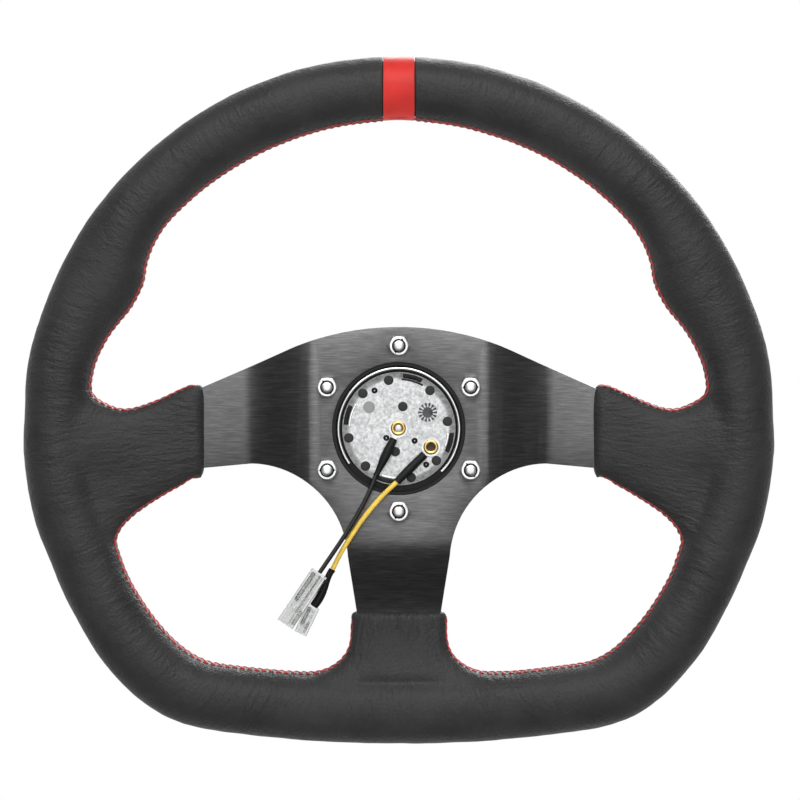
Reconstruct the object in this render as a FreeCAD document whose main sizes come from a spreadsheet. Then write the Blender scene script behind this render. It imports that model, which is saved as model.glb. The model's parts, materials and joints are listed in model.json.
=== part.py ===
"""Flat-bottomed three-spoke steering wheel with a six-bolt hub plate and a horn button.

Millimetres. X is to the right as seen from the mounting side, Y points to the driver
and Z points up. The origin is the centre of the bolt circle on the hub's rear face.
"""
import FreeCAD, Part

import bisect
import math
import os

import Sketcher

Vector = FreeCAD.Vector
DEPTH = Vector(0, 1, 0)

SIZES = {
    # hub and its fasteners
    "bolt_circle": 70.0,
    "bolt_hole": 5.6,
    "hub_hole": 56.4,
    "thread_major": 5.0,
    "thread_pitch_line": 4.48,
    "nut_flats": 8.0,
    "nut_height": 4.0,
    "nut_bore": 4.6,
    "nut_chamfer": 0.45,
    "stub_length": 2.6,
    "stub_dome": 0.7,
    "head_width": 9.5,
    "head_height": 2.75,
    "head_crown": 5.2,
    "socket_width": 2.9,
    "socket_depth": 1.5,
    # spoke plate
    "plate_thickness": 4.0,
    "dish": 16.0,
    "side_bend_start": 38.5,
    "side_bend_end": 63.0,
    "bottom_bend_start": 48.0,
    "bottom_bend_end": 78.0,
    "bend_shift": 1.2,
    "blank_top": 60.0,
    "blank_half_width": 46.0,
    "crown_radius": 120.0,
    "crown_half_width": 48.0,
    "crown_shoulder": 33.1,
    "boot_line": 83.6,
    "arm_top": 17.4,
    "arm_bottom": 16.9,
    "tip_line": 138.5,
    "tip_top_drop": 6.0,
    "tip_bottom_drop": 24.0,
    "web_radius": 41.5,
    "web_top_offset": 63.0,
    "web_top_height": 15.0,
    "web_side": 21.6,
    "web_side_height": 54.0,
    "leg_half_width": 17.9,
    "leg_boot_line": 79.0,
    "leg_tip_line": 113.0,
    "leg_tip_half_width": 14.0,
    # rim
    "rim_half_depth": 14.2,
    "leather": 1.5,
    "leather_gap": 0.2,
    "core_radius": 5.0,
    "core_gap": 0.05,
    "marker_width": 13.3,
    "marker_gap": 0.3,
    "marker_band_base": 100.0,
    "marker_band_height": 80.0,
    "thread_radius": 0.45,
    "thread_stand_off": 0.85,
    "weld_length": 20.0,
    "weld_depth": 9.0,
    "weld_reach": 7.0,
    # horn button
    "housing_radius": 28.0,
    "housing_wall": 1.2,
    "housing_rear": 0.6,
    "flange_radius": 29.9,
    "collar_bore": 24.4,
    "collar_front": 11.0,
    "lip_bore": 22.4,
    "lip_rear": 9.9,
    "collar_bevel_depth": 2.2,
    "collar_bevel_width": 1.8,
    "clip_ring_radius": 25.6,
    "clip_wire": 0.7,
    "clip_ring_depth": 1.3,
    "clip_ring_sweep": 260.0,
    "clip_ring_start": -45.0,
    "base_radius": 24.0,
    "base_rear": 2.0,
    "base_front": 3.0,
    "base_lip": 0.5,
    "base_lip_rear": 1.2,
    "window_length": 8.0,
    "window_height": 1.7,
    "window_radius": 21.6,
    "clip_thickness": 0.6,
    "clip_depth": 1.6,
    "clip_inset": 0.5,
    "clip_end_gap": 1.0,
    "rivet_radius": 1.9,
    "rivet_proud": 0.2,
    "base_screw_radius": 1.4,
    "base_screw_bore": 0.7,
    "base_screw_proud": 0.35,
    "star_radius": 4.0,
    "star_teeth": 14.0,
    "star_slot_width": 0.7,
    "star_slot_start": 2.2,
    "star_slot_depth": 1.5,
    "stud_radius": 2.5,
    "stud_proud": 0.35,
    "eyelet_flange": 3.0,
    "eyelet_bore": 1.95,
    "eyelet_barrel": 2.3,
    "eyelet_thickness": 0.4,
    "eyelet_play": 0.05,
    "ring_radius": 3.95,
    "ring_thickness": 0.6,
    "tongue_width": 2.4,
    "tongue_length": 7.5,
    "tongue_start": 2.6,
    "insulator_radius": 23.0,
    "insulator_thickness": 0.8,
    "spring_circle": 14.0,
    "spring_radius": 2.4,
    "spring_wire": 0.35,
    "spring_turns": 2.5,
    "spring_end_gap": 0.05,
    "contact_rear": 6.2,
    "contact_thickness": 0.6,
    "contact_bore": 9.0,
    "pad_radius": 3.0,
    "pad_height": 0.8,
    "cap_radius": 24.0,
    "cap_neck": 22.0,
    "cap_wall": 1.8,
    "cap_flange_front": 9.8,
    "cap_flange_rear": 8.2,
    "cap_shoulder": 11.4,
    "cap_front": 13.6,
    "cap_crown_radius": 18.5,
    "insert_radius": 14.0,
    "insert_thickness": 0.8,
    "insert_recess": 0.5,
    "insert_gap": 0.1,
    "insert_bevel": 0.3,
    # horn leads
    "black_lead_radius": 0.95,
    "yellow_lead_radius": 1.05,
    "large_length": 26.0,
    "large_width": 7.5,
    "large_depth": 4.8,
    "small_length": 12.8,
    "small_width": 5.6,
    "small_depth": 4.0,
    "connector_wall": 1.0,
    "connector_round": 0.8,
    "contact_gap": 0.25,
    "contact_wall": 0.5,
}

# Rim stations down the right half: angle above the horizontal, outer radius, inner radius.
RIM_STATIONS = (
    (90, 158.9, 132.0),
    (84, 159.1, 131.8),
    (72, 159.4, 131.8),
    (60, 159.5, 132.0),
    (50, 159.6, 132.2),
    (42, 159.9, 132.4),
    (34, 160.1, 129.6),
    (26, 160.2, 124.9),
    (18, 160.6, 130.1),
    (10, 161.1, 133.2),
    (2, 160.2, 132.6),
    (-6, 160.8, 132.3),
    (-14, 160.6, 131.5),
    (-22, 159.6, 130.6),
    (-30, 160.0, 132.2),
    (-38, 161.1, 132.4),
    (-45, 160.8, 131.8),
    (-50, 159.2, 129.6),
    (-55, 155.3, 123.9),
    (-60, 149.8, 118.7),
    (-66, 144.1, 113.9),
    (-73, 139.5, 109.2),
    (-81, 136.2, 106.4),
    (-90, 134.8, 105.4),
)

RIM_SPANS = ((90, 45), (45, 0), (0, -45), (-45, -90))
RIM_STEP = 3
LOFT_DEGREE = 2

# Side boot sections: distance out, upper edge, lower edge, half depth.
SIDE_BOOT = (
    (83.8, 18.8, -20.7, 5.2),
    (92.0, 17.2, -23.8, 6.0),
    (102.0, 12.9, -29.2, 7.0),
    (110.0, 9.4, -34.2, 7.8),
    (118.0, 8.3, -41.0, 8.6),
    (126.0, 10.8, -48.0, 9.4),
)

# Bottom boot sections: distance down, half width, half depth.
BOTTOM_BOOT = (
    (78.9, 20.2, 5.2),
    (88.0, 20.6, 6.0),
    (96.0, 22.4, 7.0),
    (103.0, 29.0, 8.2),
    (110.0, 40.0, 9.6),
)

# Places on the horn base plate: to the right, up.
RIVET_SPOTS = (
    (-4.3, 20.5),
    (-15.2, 14.9),
    (13.2, 16.2),
    (1.7, 9.4),
    (20.6, 3.1),
    (-21.2, -3.9),
    (-14.1, -15.8),
    (-1.5, -9.7),
    (15.9, -13.5),
    (5.2, -20.6),
)
BASE_SCREW_SPOTS = (
    (-10.3, 16.2),
    (-5.3, -3.9),
    (6.7, -5.1),
    (11.6, -15.2),
)
STUD_SPOT = (-12.6, 9.1)
STAR_SPOT = (12.2, 6.9)
CENTRE_SPOT = (-0.2, 0.2)
SIDE_SPOT = (13.6, -7.8)
WINDOW_ANGLES = (75, 165, 255, 345)
SPRING_ANGLES = (30, 150, 270)

# Heat-shrink sleeves: start and end of the axis, and radius at five even steps.
BLACK_SHRINK = (Vector(-2.1, 0.1, -4.2), Vector(-9.7, -0.7, -19.9), (1.6, 1.9, 1.95, 1.45, 1.25))
YELLOW_SHRINK = (Vector(10.9, 0.0, -10.8), Vector(-0.9, -0.8, -22.5), (1.7, 1.8, 1.85, 1.75, 1.5))

# Leads, from the sleeve on the horn to the connector.
BLACK_ROUTE = (
    Vector(-9.7, -0.7, -19.9),
    Vector(-12.3, -2.1, -26.6),
    Vector(-15.9, -3.4, -33.6),
    Vector(-20.7, -4.6, -41.8),
    Vector(-26.9, -5.9, -51.2),
    Vector(-33.4, -7.6, -60.6),
)
YELLOW_ROUTE = (
    Vector(-0.9, -0.8, -22.5),
    Vector(-5.8, -1.7, -27.0),
    Vector(-11.6, -2.4, -33.3),
    Vector(-17.2, -2.9, -40.7),
    Vector(-21.9, -3.1, -48.0),
    Vector(-25.5, -3.2, -54.1),
    Vector(-28.0, -3.3, -59.4),
)

# Sleeve between the yellow lead and the small connector: centre and radius.
CONNECTOR_SLEEVE = (
    (Vector(-28.0, -3.3, -59.4), 1.45),
    (Vector(-30.5, -3.2, -64.2), 1.5),
    (Vector(-32.2, -3.2, -68.6), 1.8),
    (Vector(-33.9, -3.1, -71.9), 1.9),
    (Vector(-36.0, -3.1, -74.9), 1.75),
)
LARGE_AXIS = (Vector(-33.4, -7.6, -60.6), Vector(-0.557, 0, -0.831))
SMALL_AXIS = (Vector(-36.0, -3.1, -74.9), Vector(-0.438, 0, -0.899))

doc = FreeCAD.newDocument("steering_wheel")
sheet = doc.addObject("Spreadsheet::Sheet", "Sizes")


class Size:
    """A dimension that knows its value and its expression over the sheet."""

    def __init__(self, text, value):
        self.text = text
        self.value = value

    def combine(self, other, sign, value):
        other_text = other.text if isinstance(other, Size) else str(other)
        return Size(f"({self.text} {sign} {other_text})", value)

    def __add__(self, other):
        return self.combine(other, "+", self.value + number(other))

    def __sub__(self, other):
        return self.combine(other, "-", self.value - number(other))

    def __mul__(self, other):
        return self.combine(other, "*", self.value * number(other))

    def __truediv__(self, other):
        return self.combine(other, "/", self.value / number(other))

    def __neg__(self):
        return Size(f"(0 - {self.text})", -self.value)


def number(item):
    """The plain number behind a Size or a number."""
    return item.value if isinstance(item, Size) else float(item)


def fill_sheet():
    """Write every driving dimension into its own aliased cell."""
    for row, (alias, value) in enumerate(SIZES.items(), start=1):
        sheet.set(f"A{row}", alias)
        sheet.set(f"B{row}", str(value))
        sheet.setAlias(f"B{row}", alias)
    doc.recompute()


def cell(alias):
    """The dimension kept in the sheet under this alias."""
    return Size(f"Sizes.{alias}", float(sheet.get(alias)))


def read(alias):
    """The dimension's plain number, for shapes made straight from Part's functions."""
    return float(sheet.get(alias))


def bind(item, **properties):
    """Bind each named property of the item to a dimension."""
    for name, size in properties.items():
        item.setExpression(name, size.text if isinstance(size, Size) else str(size))
    return item


# ---- sketch and body helpers ----


def origin_plane(body, role):
    """One of the body's own origin planes or axes."""
    return next(item for item in body.Origin.OriginFeatures if item.Role == role)


def new_body(label):
    """An empty body with its label."""
    body = doc.addObject("PartDesign::Body", label)
    body.Label = label
    return body


def pin_point(sketch, geometry, end, corner):
    """Hold a sketch point at the corner's two dimensions."""
    axes = (("DistanceX", -2, "across"), ("DistanceY", -1, "up"))
    for (kind, axis, word), size in zip(axes, corner):
        if isinstance(size, Size):
            row = sketch.addConstraint(Sketcher.Constraint(kind, -1, 1, geometry, end, size.value))
            name = f"{word}_{geometry}"
            sketch.renameConstraint(row, name)
            sketch.setExpression(f"Constraints.{name}", size.text)
        else:
            sketch.addConstraint(Sketcher.Constraint("PointOnObject", geometry, end, axis))


def arc_between(start, stop, radius, turn):
    """The arc from start to stop, counter-clockwise when turn is 1 and clockwise when -1."""
    chord = stop - start
    height = math.sqrt(radius ** 2 - (chord.Length / 2) ** 2)
    left = Vector(-chord.y, chord.x, 0).normalize()
    centre = (start + stop) / 2 + left * height * turn
    first, last = (start, stop) if turn > 0 else (stop, start)
    angles = [math.atan2(spot.y - centre.y, spot.x - centre.x) for spot in (first, last)]
    if angles[1] < angles[0]:
        angles[1] += 2 * math.pi
    return Part.ArcOfCircle(Part.Circle(centre, Vector(0, 0, 1), radius), *angles)


def outline_sketch(body, role, corners, arcs=None, holes=()):
    """A closed outline on an origin plane, with lines or arcs between its corners.

    arcs maps an edge's number to its radius and turn. holes are centre and radius sizes.
    """
    arcs = arcs or {}
    sketch = body.newObject("Sketcher::SketchObject", f"{body.Name}_outline")
    sketch.AttachmentSupport = (origin_plane(body, role), [""])
    sketch.MapMode = "FlatFace"
    spots = [Vector(number(across), number(up), 0) for across, up in corners]
    ends = []
    for edge, start in enumerate(spots):
        stop = spots[(edge + 1) % len(spots)]
        if edge in arcs:
            radius, turn = arcs[edge]
            sketch.addGeometry(arc_between(start, stop, radius.value, turn))
            ends.append((1, 2) if turn > 0 else (2, 1))
        else:
            sketch.addGeometry(Part.LineSegment(start, stop))
            ends.append((1, 2))
    for edge in range(len(spots)):
        after = (edge + 1) % len(spots)
        sketch.addConstraint(Sketcher.Constraint("Coincident", edge, ends[edge][1], after, ends[after][0]))
    for edge, corner in enumerate(corners):
        pin_point(sketch, edge, ends[edge][0], corner)
    for edge, (radius, _) in arcs.items():
        row = sketch.addConstraint(Sketcher.Constraint("Radius", edge, radius.value))
        sketch.renameConstraint(row, f"radius_{edge}")
        sketch.setExpression(f"Constraints.radius_{edge}", radius.text)
    for across, up, radius in holes:
        centre = Vector(number(across), number(up), 0)
        edge = sketch.addGeometry(Part.Circle(centre, Vector(0, 0, 1), radius.value))
        pin_point(sketch, edge, 3, (across, up))
        row = sketch.addConstraint(Sketcher.Constraint("Radius", edge, radius.value))
        sketch.renameConstraint(row, f"radius_{edge}")
        sketch.setExpression(f"Constraints.radius_{edge}", radius.text)
    return sketch


def turned_body(label, profile):
    """A body turned about the steering axis from a profile of radius and depth sizes."""
    body = new_body(label)
    sketch = outline_sketch(body, "XY_Plane", profile)
    turn = body.newObject("PartDesign::Revolution", f"{label}_turn")
    turn.Profile = sketch
    turn.ReferenceAxis = (sketch, ["V_Axis"])
    turn.Angle = 360
    sketch.Visibility = False
    return body


# ---- primitive and boolean helpers ----


def facing(start, direction):
    """The placement that stands a primitive's Z axis on start along direction."""
    return FreeCAD.Placement(start, FreeCAD.Rotation(Vector(0, 0, 1), direction))


def on_base(spot, depth):
    """A point on the horn base plate at this depth."""
    return Vector(spot[0], depth, spot[1])


def rod(name, radius, height, start, direction=DEPTH):
    """A cylinder bound to the sheet."""
    item = bind(doc.addObject("Part::Cylinder", name), Radius=radius, Height=height)
    item.Placement = facing(start, direction)
    return item


def block(name, length, width, height, placement):
    """A box bound to the sheet."""
    item = bind(doc.addObject("Part::Box", name), Length=length, Width=width, Height=height)
    item.Placement = placement
    return item


def cut(name, base, tool):
    """Base less tool."""
    item = doc.addObject("Part::Cut", name)
    item.Base = base
    item.Tool = tool
    return item


def fuse(name, shapes):
    """One solid from several that touch."""
    item = doc.addObject("Part::MultiFuse", name)
    item.Shapes = shapes
    return item


def group(name, shapes):
    """Separate solids kept together in one sub-part."""
    item = doc.addObject("Part::Compound", name)
    item.Links = shapes
    return item


def linked_copy(name, source, placement):
    """A copy of the source that follows its sizes."""
    item = doc.addObject("App::Link", name)
    item.LinkedObject = source
    item.LinkTransform = False
    item.Placement = placement
    return item


def solid(name, shape):
    """A sub-part whose shape comes straight from Part's functions."""
    item = doc.addObject("Part::Feature", name)
    item.Shape = shape
    return item


# ---- lofted soft parts ----


def closed_section(centre, across, deep, squareness=2.0, count=16):
    """A smooth closed curve about centre: an ellipse, or squarer with a higher squareness."""
    points = []
    for step in range(count):
        angle = 2 * math.pi * step / count
        cosine, sine = math.cos(angle), math.sin(angle)
        along = math.copysign(abs(cosine) ** (2 / squareness), cosine)
        away = math.copysign(abs(sine) ** (2 / squareness), sine)
        points.append(centre + across * along + deep * away)
    curve = Part.BSplineCurve()
    curve.interpolate(Points=points, PeriodicFlag=True)
    return Part.Wire(curve.toShape())


def rim_plane():
    """The depth of the rim's middle plane, which runs through the spokes' tips."""
    return read("dish") + read("plate_thickness") / 2


class EasedLine:
    """A smooth line through stations that never swings past them."""

    def __init__(self, places, values):
        self.places = places
        self.values = values
        steps = [
            (values[row + 1] - values[row]) / (places[row + 1] - places[row])
            for row in range(len(places) - 1)
        ]
        inner = [2 * a * b / (a + b) if a * b > 0 else 0.0 for a, b in zip(steps, steps[1:])]
        self.slopes = [0.0] + inner + [0.0]

    def at(self, place):
        """The line's value at a place between the first and last station."""
        row = min(max(bisect.bisect_right(self.places, place) - 1, 0), len(self.places) - 2)
        width = self.places[row + 1] - self.places[row]
        part = (place - self.places[row]) / width
        rise = part * part * (3 - 2 * part)
        first = part * (1 - part) ** 2 * width * self.slopes[row]
        last = part * part * (part - 1) * width * self.slopes[row + 1]
        return self.values[row] * (1 - rise) + self.values[row + 1] * rise + first + last


RIM_ANGLES = [station[0] for station in reversed(RIM_STATIONS)]
RIM_OUTER = EasedLine(RIM_ANGLES, [station[1] for station in reversed(RIM_STATIONS)])
RIM_INNER = EasedLine(RIM_ANGLES, [station[2] for station in reversed(RIM_STATIONS)])


def outward_at(angle):
    """The direction away from the hub at this angle."""
    return Vector(math.cos(math.radians(angle)), 0, math.sin(math.radians(angle)))


def mirrored(shape):
    """The same shape on the other side of the wheel."""
    return shape.mirror(Vector(0, 0, 0), Vector(1, 0, 0))


def half_ring(half_width_at, half_depth):
    """The right half of a ring on the rim's centre line, in spans lofted through even sections."""
    spans = []
    for first, last in RIM_SPANS:
        wires = []
        for angle in range(first, last - 1, -RIM_STEP):
            outward = outward_at(angle)
            middle = (RIM_OUTER.at(angle) + RIM_INNER.at(angle)) / 2
            centre = outward * middle + DEPTH * rim_plane()
            wires.append(closed_section(centre, outward * half_width_at(angle), DEPTH * half_depth, 2.0, 12))
        spans.append(Part.makeLoft(wires, True, False, False, LOFT_DEGREE))
    return spans[0].fuse(spans[1:])


def half_rim(inset):
    """The right half of the rim, as much smaller all round as inset says."""
    return half_ring(
        lambda angle: (RIM_OUTER.at(angle) - RIM_INNER.at(angle)) / 2 - inset,
        read("rim_half_depth") - inset,
    )


def half_core(radius):
    """The right half of a round tube of this radius along the rim's centre line."""
    return half_ring(lambda angle: radius, radius)


def side_boot():
    """The right-hand leather boot, before the rim and the plate are taken out of it."""
    wires = []
    for reach, upper, lower, half_depth in SIDE_BOOT:
        centre = Vector(reach, rim_plane(), (upper + lower) / 2)
        wires.append(closed_section(centre, Vector(0, 0, (upper - lower) / 2), DEPTH * half_depth, 4.0))
    return Part.makeLoft(wires, True)


def bottom_boot():
    """The bottom leather boot, before the rim and the plate are taken out of it."""
    wires = []
    for reach, half_width, half_depth in BOTTOM_BOOT:
        centre = Vector(0, rim_plane(), -reach)
        wires.append(closed_section(centre, Vector(half_width, 0, 0), DEPTH * half_depth, 4.0))
    return Part.makeLoft(wires, True)


def seam_thread(first, last):
    """A thread just inside the rim from one angle to another, in the rim's middle plane."""
    points = []
    for angle in range(first, last - 1, -RIM_STEP):
        own_side = angle if angle <= 90 else 180 - angle
        reach = RIM_INNER.at(own_side) - read("thread_stand_off")
        points.append(outward_at(angle) * reach + DEPTH * rim_plane())
    curve = Part.BSplineCurve()
    curve.interpolate(points)
    section = Part.Circle(points[0], curve.tangent(curve.FirstParameter)[0], read("thread_radius"))
    return Part.Wire(curve.toShape()).makePipeShell([Part.Wire(section.toShape())], True, True)


# ---- cords ----


def cord_tube(name, route, radius):
    """A tube along straight runs joined by arcs as large as the runs allow."""
    runs = [(after - before).Length for before, after in zip(route, route[1:])]
    edges = []
    radii = []
    last = route[0]
    for index in range(1, len(route) - 1):
        before = (route[index - 1] - route[index]).normalize()
        after = (route[index + 1] - route[index]).normalize()
        half_turn = (math.pi - before.getAngle(after)) / 2
        reach = 0.45 * min(runs[index - 1], runs[index])
        bend = reach / math.tan(half_turn)
        enter = route[index] + before * reach
        leave = route[index] + after * reach
        inward = (before + after).normalize()
        middle = route[index] + inward * (math.hypot(bend, reach) - bend)
        edges.append(Part.LineSegment(last, enter).toShape())
        edges.append(Part.Arc(enter, middle, leave).toShape())
        radii.append(bend)
        last = leave
    edges.append(Part.LineSegment(last, route[-1]).toShape())
    path = Part.Wire(edges)
    start = Part.Circle(route[0], route[1] - route[0], radius).toShape()
    tube = path.makePipeShell([Part.Wire(start)], True, True)
    share = tube.Volume / (math.pi * radius ** 2 * path.Length)
    print(f"{name}: length {path.Length:.1f} mm, volume {share:.4f} of its section times length")
    print(f"{name}: bend radii {', '.join(f'{bend:.0f}' for bend in radii)} mm")
    return solid(name, tube)


def tapered_sleeve(name, sections):
    """A sleeve lofted through circles, each given by its centre and radius."""
    wires = []
    for index, (centre, radius) in enumerate(sections):
        before = sections[max(index - 1, 0)][0]
        after = sections[min(index + 1, len(sections) - 1)][0]
        wires.append(Part.Wire(Part.Circle(centre, after - before, radius).toShape()))
    return solid(name, Part.makeLoft(wires, True))


# ---- sub-assemblies ----


def make_spoke_plate():
    """The joggled plate: two bent strips trimmed to the spokes' outline."""
    thick, dish, shift = cell("plate_thickness"), cell("dish"), cell("bend_shift")
    front = dish + thick
    tip = cell("tip_line")
    bend_start, bend_end = cell("side_bend_start"), cell("side_bend_end")
    strip = new_body("side_strip")
    right = [
        (bend_start, 0),
        (bend_end, dish),
        (tip, dish),
        (tip, front),
        (bend_end - shift, front),
        (bend_start - shift, thick),
    ]
    left = [(-across, depth) for across, depth in reversed(right)]
    side_sketch = outline_sketch(strip, "XY_Plane", right + left)
    side_pad = strip.newObject("PartDesign::Pad", "side_strip_pad")
    side_pad.Profile = side_sketch
    side_pad.SideType = "Two sides"
    bind(side_pad, Length=cell("blank_top"), Length2=cell("bottom_bend_start") - shift)

    leg = new_body("bottom_strip")
    leg_start, leg_end = cell("bottom_bend_start"), cell("bottom_bend_end")
    leg_tip = cell("leg_tip_line")
    leg_corners = [
        (0, -(leg_start - shift * 4)),
        (0, -leg_start),
        (dish, -leg_end),
        (dish, -leg_tip),
        (front, -leg_tip),
        (front, -(leg_end - shift)),
        (thick, -(leg_start - shift)),
        (thick, -(leg_start - shift * 4)),
    ]
    leg_sketch = outline_sketch(leg, "YZ_Plane", leg_corners)
    leg_pad = leg.newObject("PartDesign::Pad", "bottom_strip_pad")
    leg_pad.Profile = leg_sketch
    leg_pad.SideType = "Symmetric"
    bind(leg_pad, Length=cell("blank_half_width") * 2)

    trim = new_body("spoke_outline")
    half_outline = [
        (cell("crown_half_width"), cell("crown_shoulder")),
        (cell("boot_line"), cell("arm_top")),
        (tip, -cell("tip_top_drop")),
        (tip, -cell("tip_bottom_drop")),
        (cell("boot_line"), -cell("arm_bottom")),
        (cell("web_top_offset"), -cell("web_top_height")),
        (cell("web_side"), -cell("web_side_height")),
        (cell("leg_half_width"), -cell("leg_boot_line")),
        (cell("leg_tip_half_width"), -cell("leg_tip_line")),
    ]
    other_half = [(-across, up) for across, up in reversed(half_outline)]
    bolts = []
    for step in range(6):
        angle = math.radians(30 + 60 * step)
        across = cell("bolt_circle") * round(math.cos(angle) / 2, 9)
        up = cell("bolt_circle") * round(math.sin(angle) / 2, 9)
        bolts.append((across if abs(across.value) > 0.001 else 0, up, cell("bolt_hole") / 2))
    hub = (0, 0, cell("hub_hole") / 2)
    arcs = {5: (cell("web_radius"), 1), 11: (cell("web_radius"), 1), 17: (cell("crown_radius"), -1)}
    trim_sketch = outline_sketch(trim, "XZ_Plane", half_outline + other_half, arcs, [hub] + bolts)
    trim_pad = trim.newObject("PartDesign::Pad", "spoke_outline_pad")
    trim_pad.Profile = trim_sketch
    trim_pad.Reversed = True
    bind(trim_pad, Length=front)
    for sketch in (side_sketch, leg_sketch, trim_sketch):
        sketch.Visibility = False

    plate = doc.addObject("Part::Common", "spoke_plate")
    plate.Base = fuse("plate_blank", [strip, leg])
    plate.Tool = trim
    return plate


def bolt_places():
    """The six placements round the bolt circle, the first at the top."""
    radius = read("bolt_circle") / 2
    places = []
    for step in range(6):
        turn = FreeCAD.Rotation(DEPTH, 60 * step)
        places.append(FreeCAD.Placement(turn.multVec(Vector(0, 0, radius)), turn))
    return places


def make_hub_screws():
    """Six button-head screws, with the full thread standing clear of each nut."""
    core = cell("thread_pitch_line") / 2
    major = cell("thread_major") / 2
    nut_face = -cell("nut_height")
    tip = nut_face - cell("stub_length")
    head_rear = cell("plate_thickness")
    head_front = head_rear + cell("head_height")
    socket = cell("socket_width") / 2
    screw = turned_body(
        "hub_screw",
        [
            (0, tip),
            (major - cell("stub_dome"), tip),
            (major, tip + cell("stub_dome")),
            (major, nut_face),
            (core, nut_face),
            (core, head_rear),
            (cell("head_width") / 2, head_rear),
            (cell("head_width") / 2, head_rear + cell("stub_dome")),
            (cell("head_crown") / 2, head_front),
            (socket, head_front),
            (socket, head_front - cell("socket_depth")),
            (0, head_front - cell("socket_depth")),
        ],
    )
    copies = [linked_copy(f"hub_screw_{step}", screw, place) for step, place in enumerate(bolt_places())]
    return group("hub_screws", copies)


def make_hub_nuts():
    """Six chamfered hexagon nuts on the hub's rear face."""
    height = cell("nut_height")
    corner = cell("nut_flats") / round(math.sqrt(3), 9)
    hexagon = bind(doc.addObject("Part::Prism", "nut_hexagon"), Circumradius=corner, Height=height)
    hexagon.Polygon = 6
    hexagon.Placement = facing(Vector(0, 0, 0), -DEPTH)
    bevel = cell("nut_chamfer")
    bounds = turned_body(
        "nut_bounds",
        [(0, 0), (corner, 0), (corner, bevel - height), (corner - bevel * 1.7, -height), (0, -height)],
    )
    bounded = doc.addObject("Part::Common", "nut_bounded")
    bounded.Base = hexagon
    bounded.Tool = bounds
    bore = rod("nut_hole", cell("nut_bore") / 2, height, Vector(0, 0, 0), -DEPTH)
    nut = cut("hub_nut", bounded, bore)
    copies = [linked_copy(f"hub_nut_{step}", nut, place) for step, place in enumerate(bolt_places())]
    return group("hub_nuts", copies)


def make_horn_housing():
    """The ring that clips in the hub hole and holds the horn button."""
    rear, seat = cell("housing_rear"), cell("plate_thickness")
    outer, flange = cell("housing_radius"), cell("flange_radius")
    bore, collar = outer - cell("housing_wall"), cell("collar_bore")
    front, lip, lip_rear = cell("collar_front"), cell("lip_bore"), cell("lip_rear")
    step = seat + cell("insulator_thickness")
    return turned_body(
        "horn_housing",
        [
            (bore, rear),
            (outer, rear),
            (outer, seat),
            (flange, seat),
            (flange, front - cell("collar_bevel_depth")),
            (flange - cell("collar_bevel_width"), front),
            (lip, front),
            (lip, lip_rear),
            (collar, lip_rear),
            (collar, step),
            (bore, step),
        ],
    )


def make_clip_ring():
    """The open wire ring that keeps the base plate in the housing."""
    ring = bind(doc.addObject("Part::Torus", "horn_circlip"), Radius2=cell("clip_wire"))
    bind(ring, Radius1=cell("clip_ring_radius"), Angle3=cell("clip_ring_sweep"))
    about = FreeCAD.Rotation(Vector(1, 0, 0), 90)
    start = FreeCAD.Rotation(DEPTH, -read("clip_ring_start"))
    ring.Placement = FreeCAD.Placement(Vector(0, read("clip_ring_depth"), 0), start.multiply(about))
    return ring


def window_place(angle, inner, side_shift, depth):
    """The corner placement of a small block that lies across the radius at this angle."""
    outward = outward_at(angle)
    sideways = outward.cross(DEPTH)
    corner = outward * inner + sideways * side_shift + DEPTH * depth
    return FreeCAD.Placement(corner, FreeCAD.Rotation(sideways, DEPTH, outward, "ZXY"))


def make_base_plate():
    """The pressed disc: a shallow pan with four clip windows and two eyelet holes."""
    rear, front, radius = cell("base_rear"), cell("base_front"), cell("base_radius")
    pan = turned_body(
        "base_pan",
        [
            (0, rear),
            (radius - cell("base_lip"), rear),
            (radius - cell("base_lip"), cell("base_lip_rear")),
            (radius, cell("base_lip_rear")),
            (radius, front),
            (0, front),
        ],
    )
    tools = []
    length, height = cell("window_length"), cell("window_height")
    for step, angle in enumerate(WINDOW_ANGLES):
        place = window_place(angle, read("window_radius"), -length.value / 2, 0)
        tools.append(block(f"base_window_{step}", length, front * 2, height, place))
    for name, spot in (("centre", CENTRE_SPOT), ("side", SIDE_SPOT)):
        tools.append(rod(f"{name}_eyelet_hole", cell("eyelet_barrel"), front * 2, on_base(spot, 0)))
    return cut("base_plate", pan, fuse("base_cuts", tools))


def make_base_clips():
    """Four bent spring clips that stand in the windows."""
    clips = []
    length = cell("window_length") - cell("clip_end_gap") * 2
    deep, thickness = cell("clip_depth"), cell("clip_thickness")
    inner = read("window_radius") + read("clip_inset")
    for step, angle in enumerate(WINDOW_ANGLES):
        place = window_place(angle, inner, -length.value / 2, read("base_lip_rear"))
        clips.append(block(f"base_clip_{step}", length, deep, thickness, place))
    return group("base_clips", clips)


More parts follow.
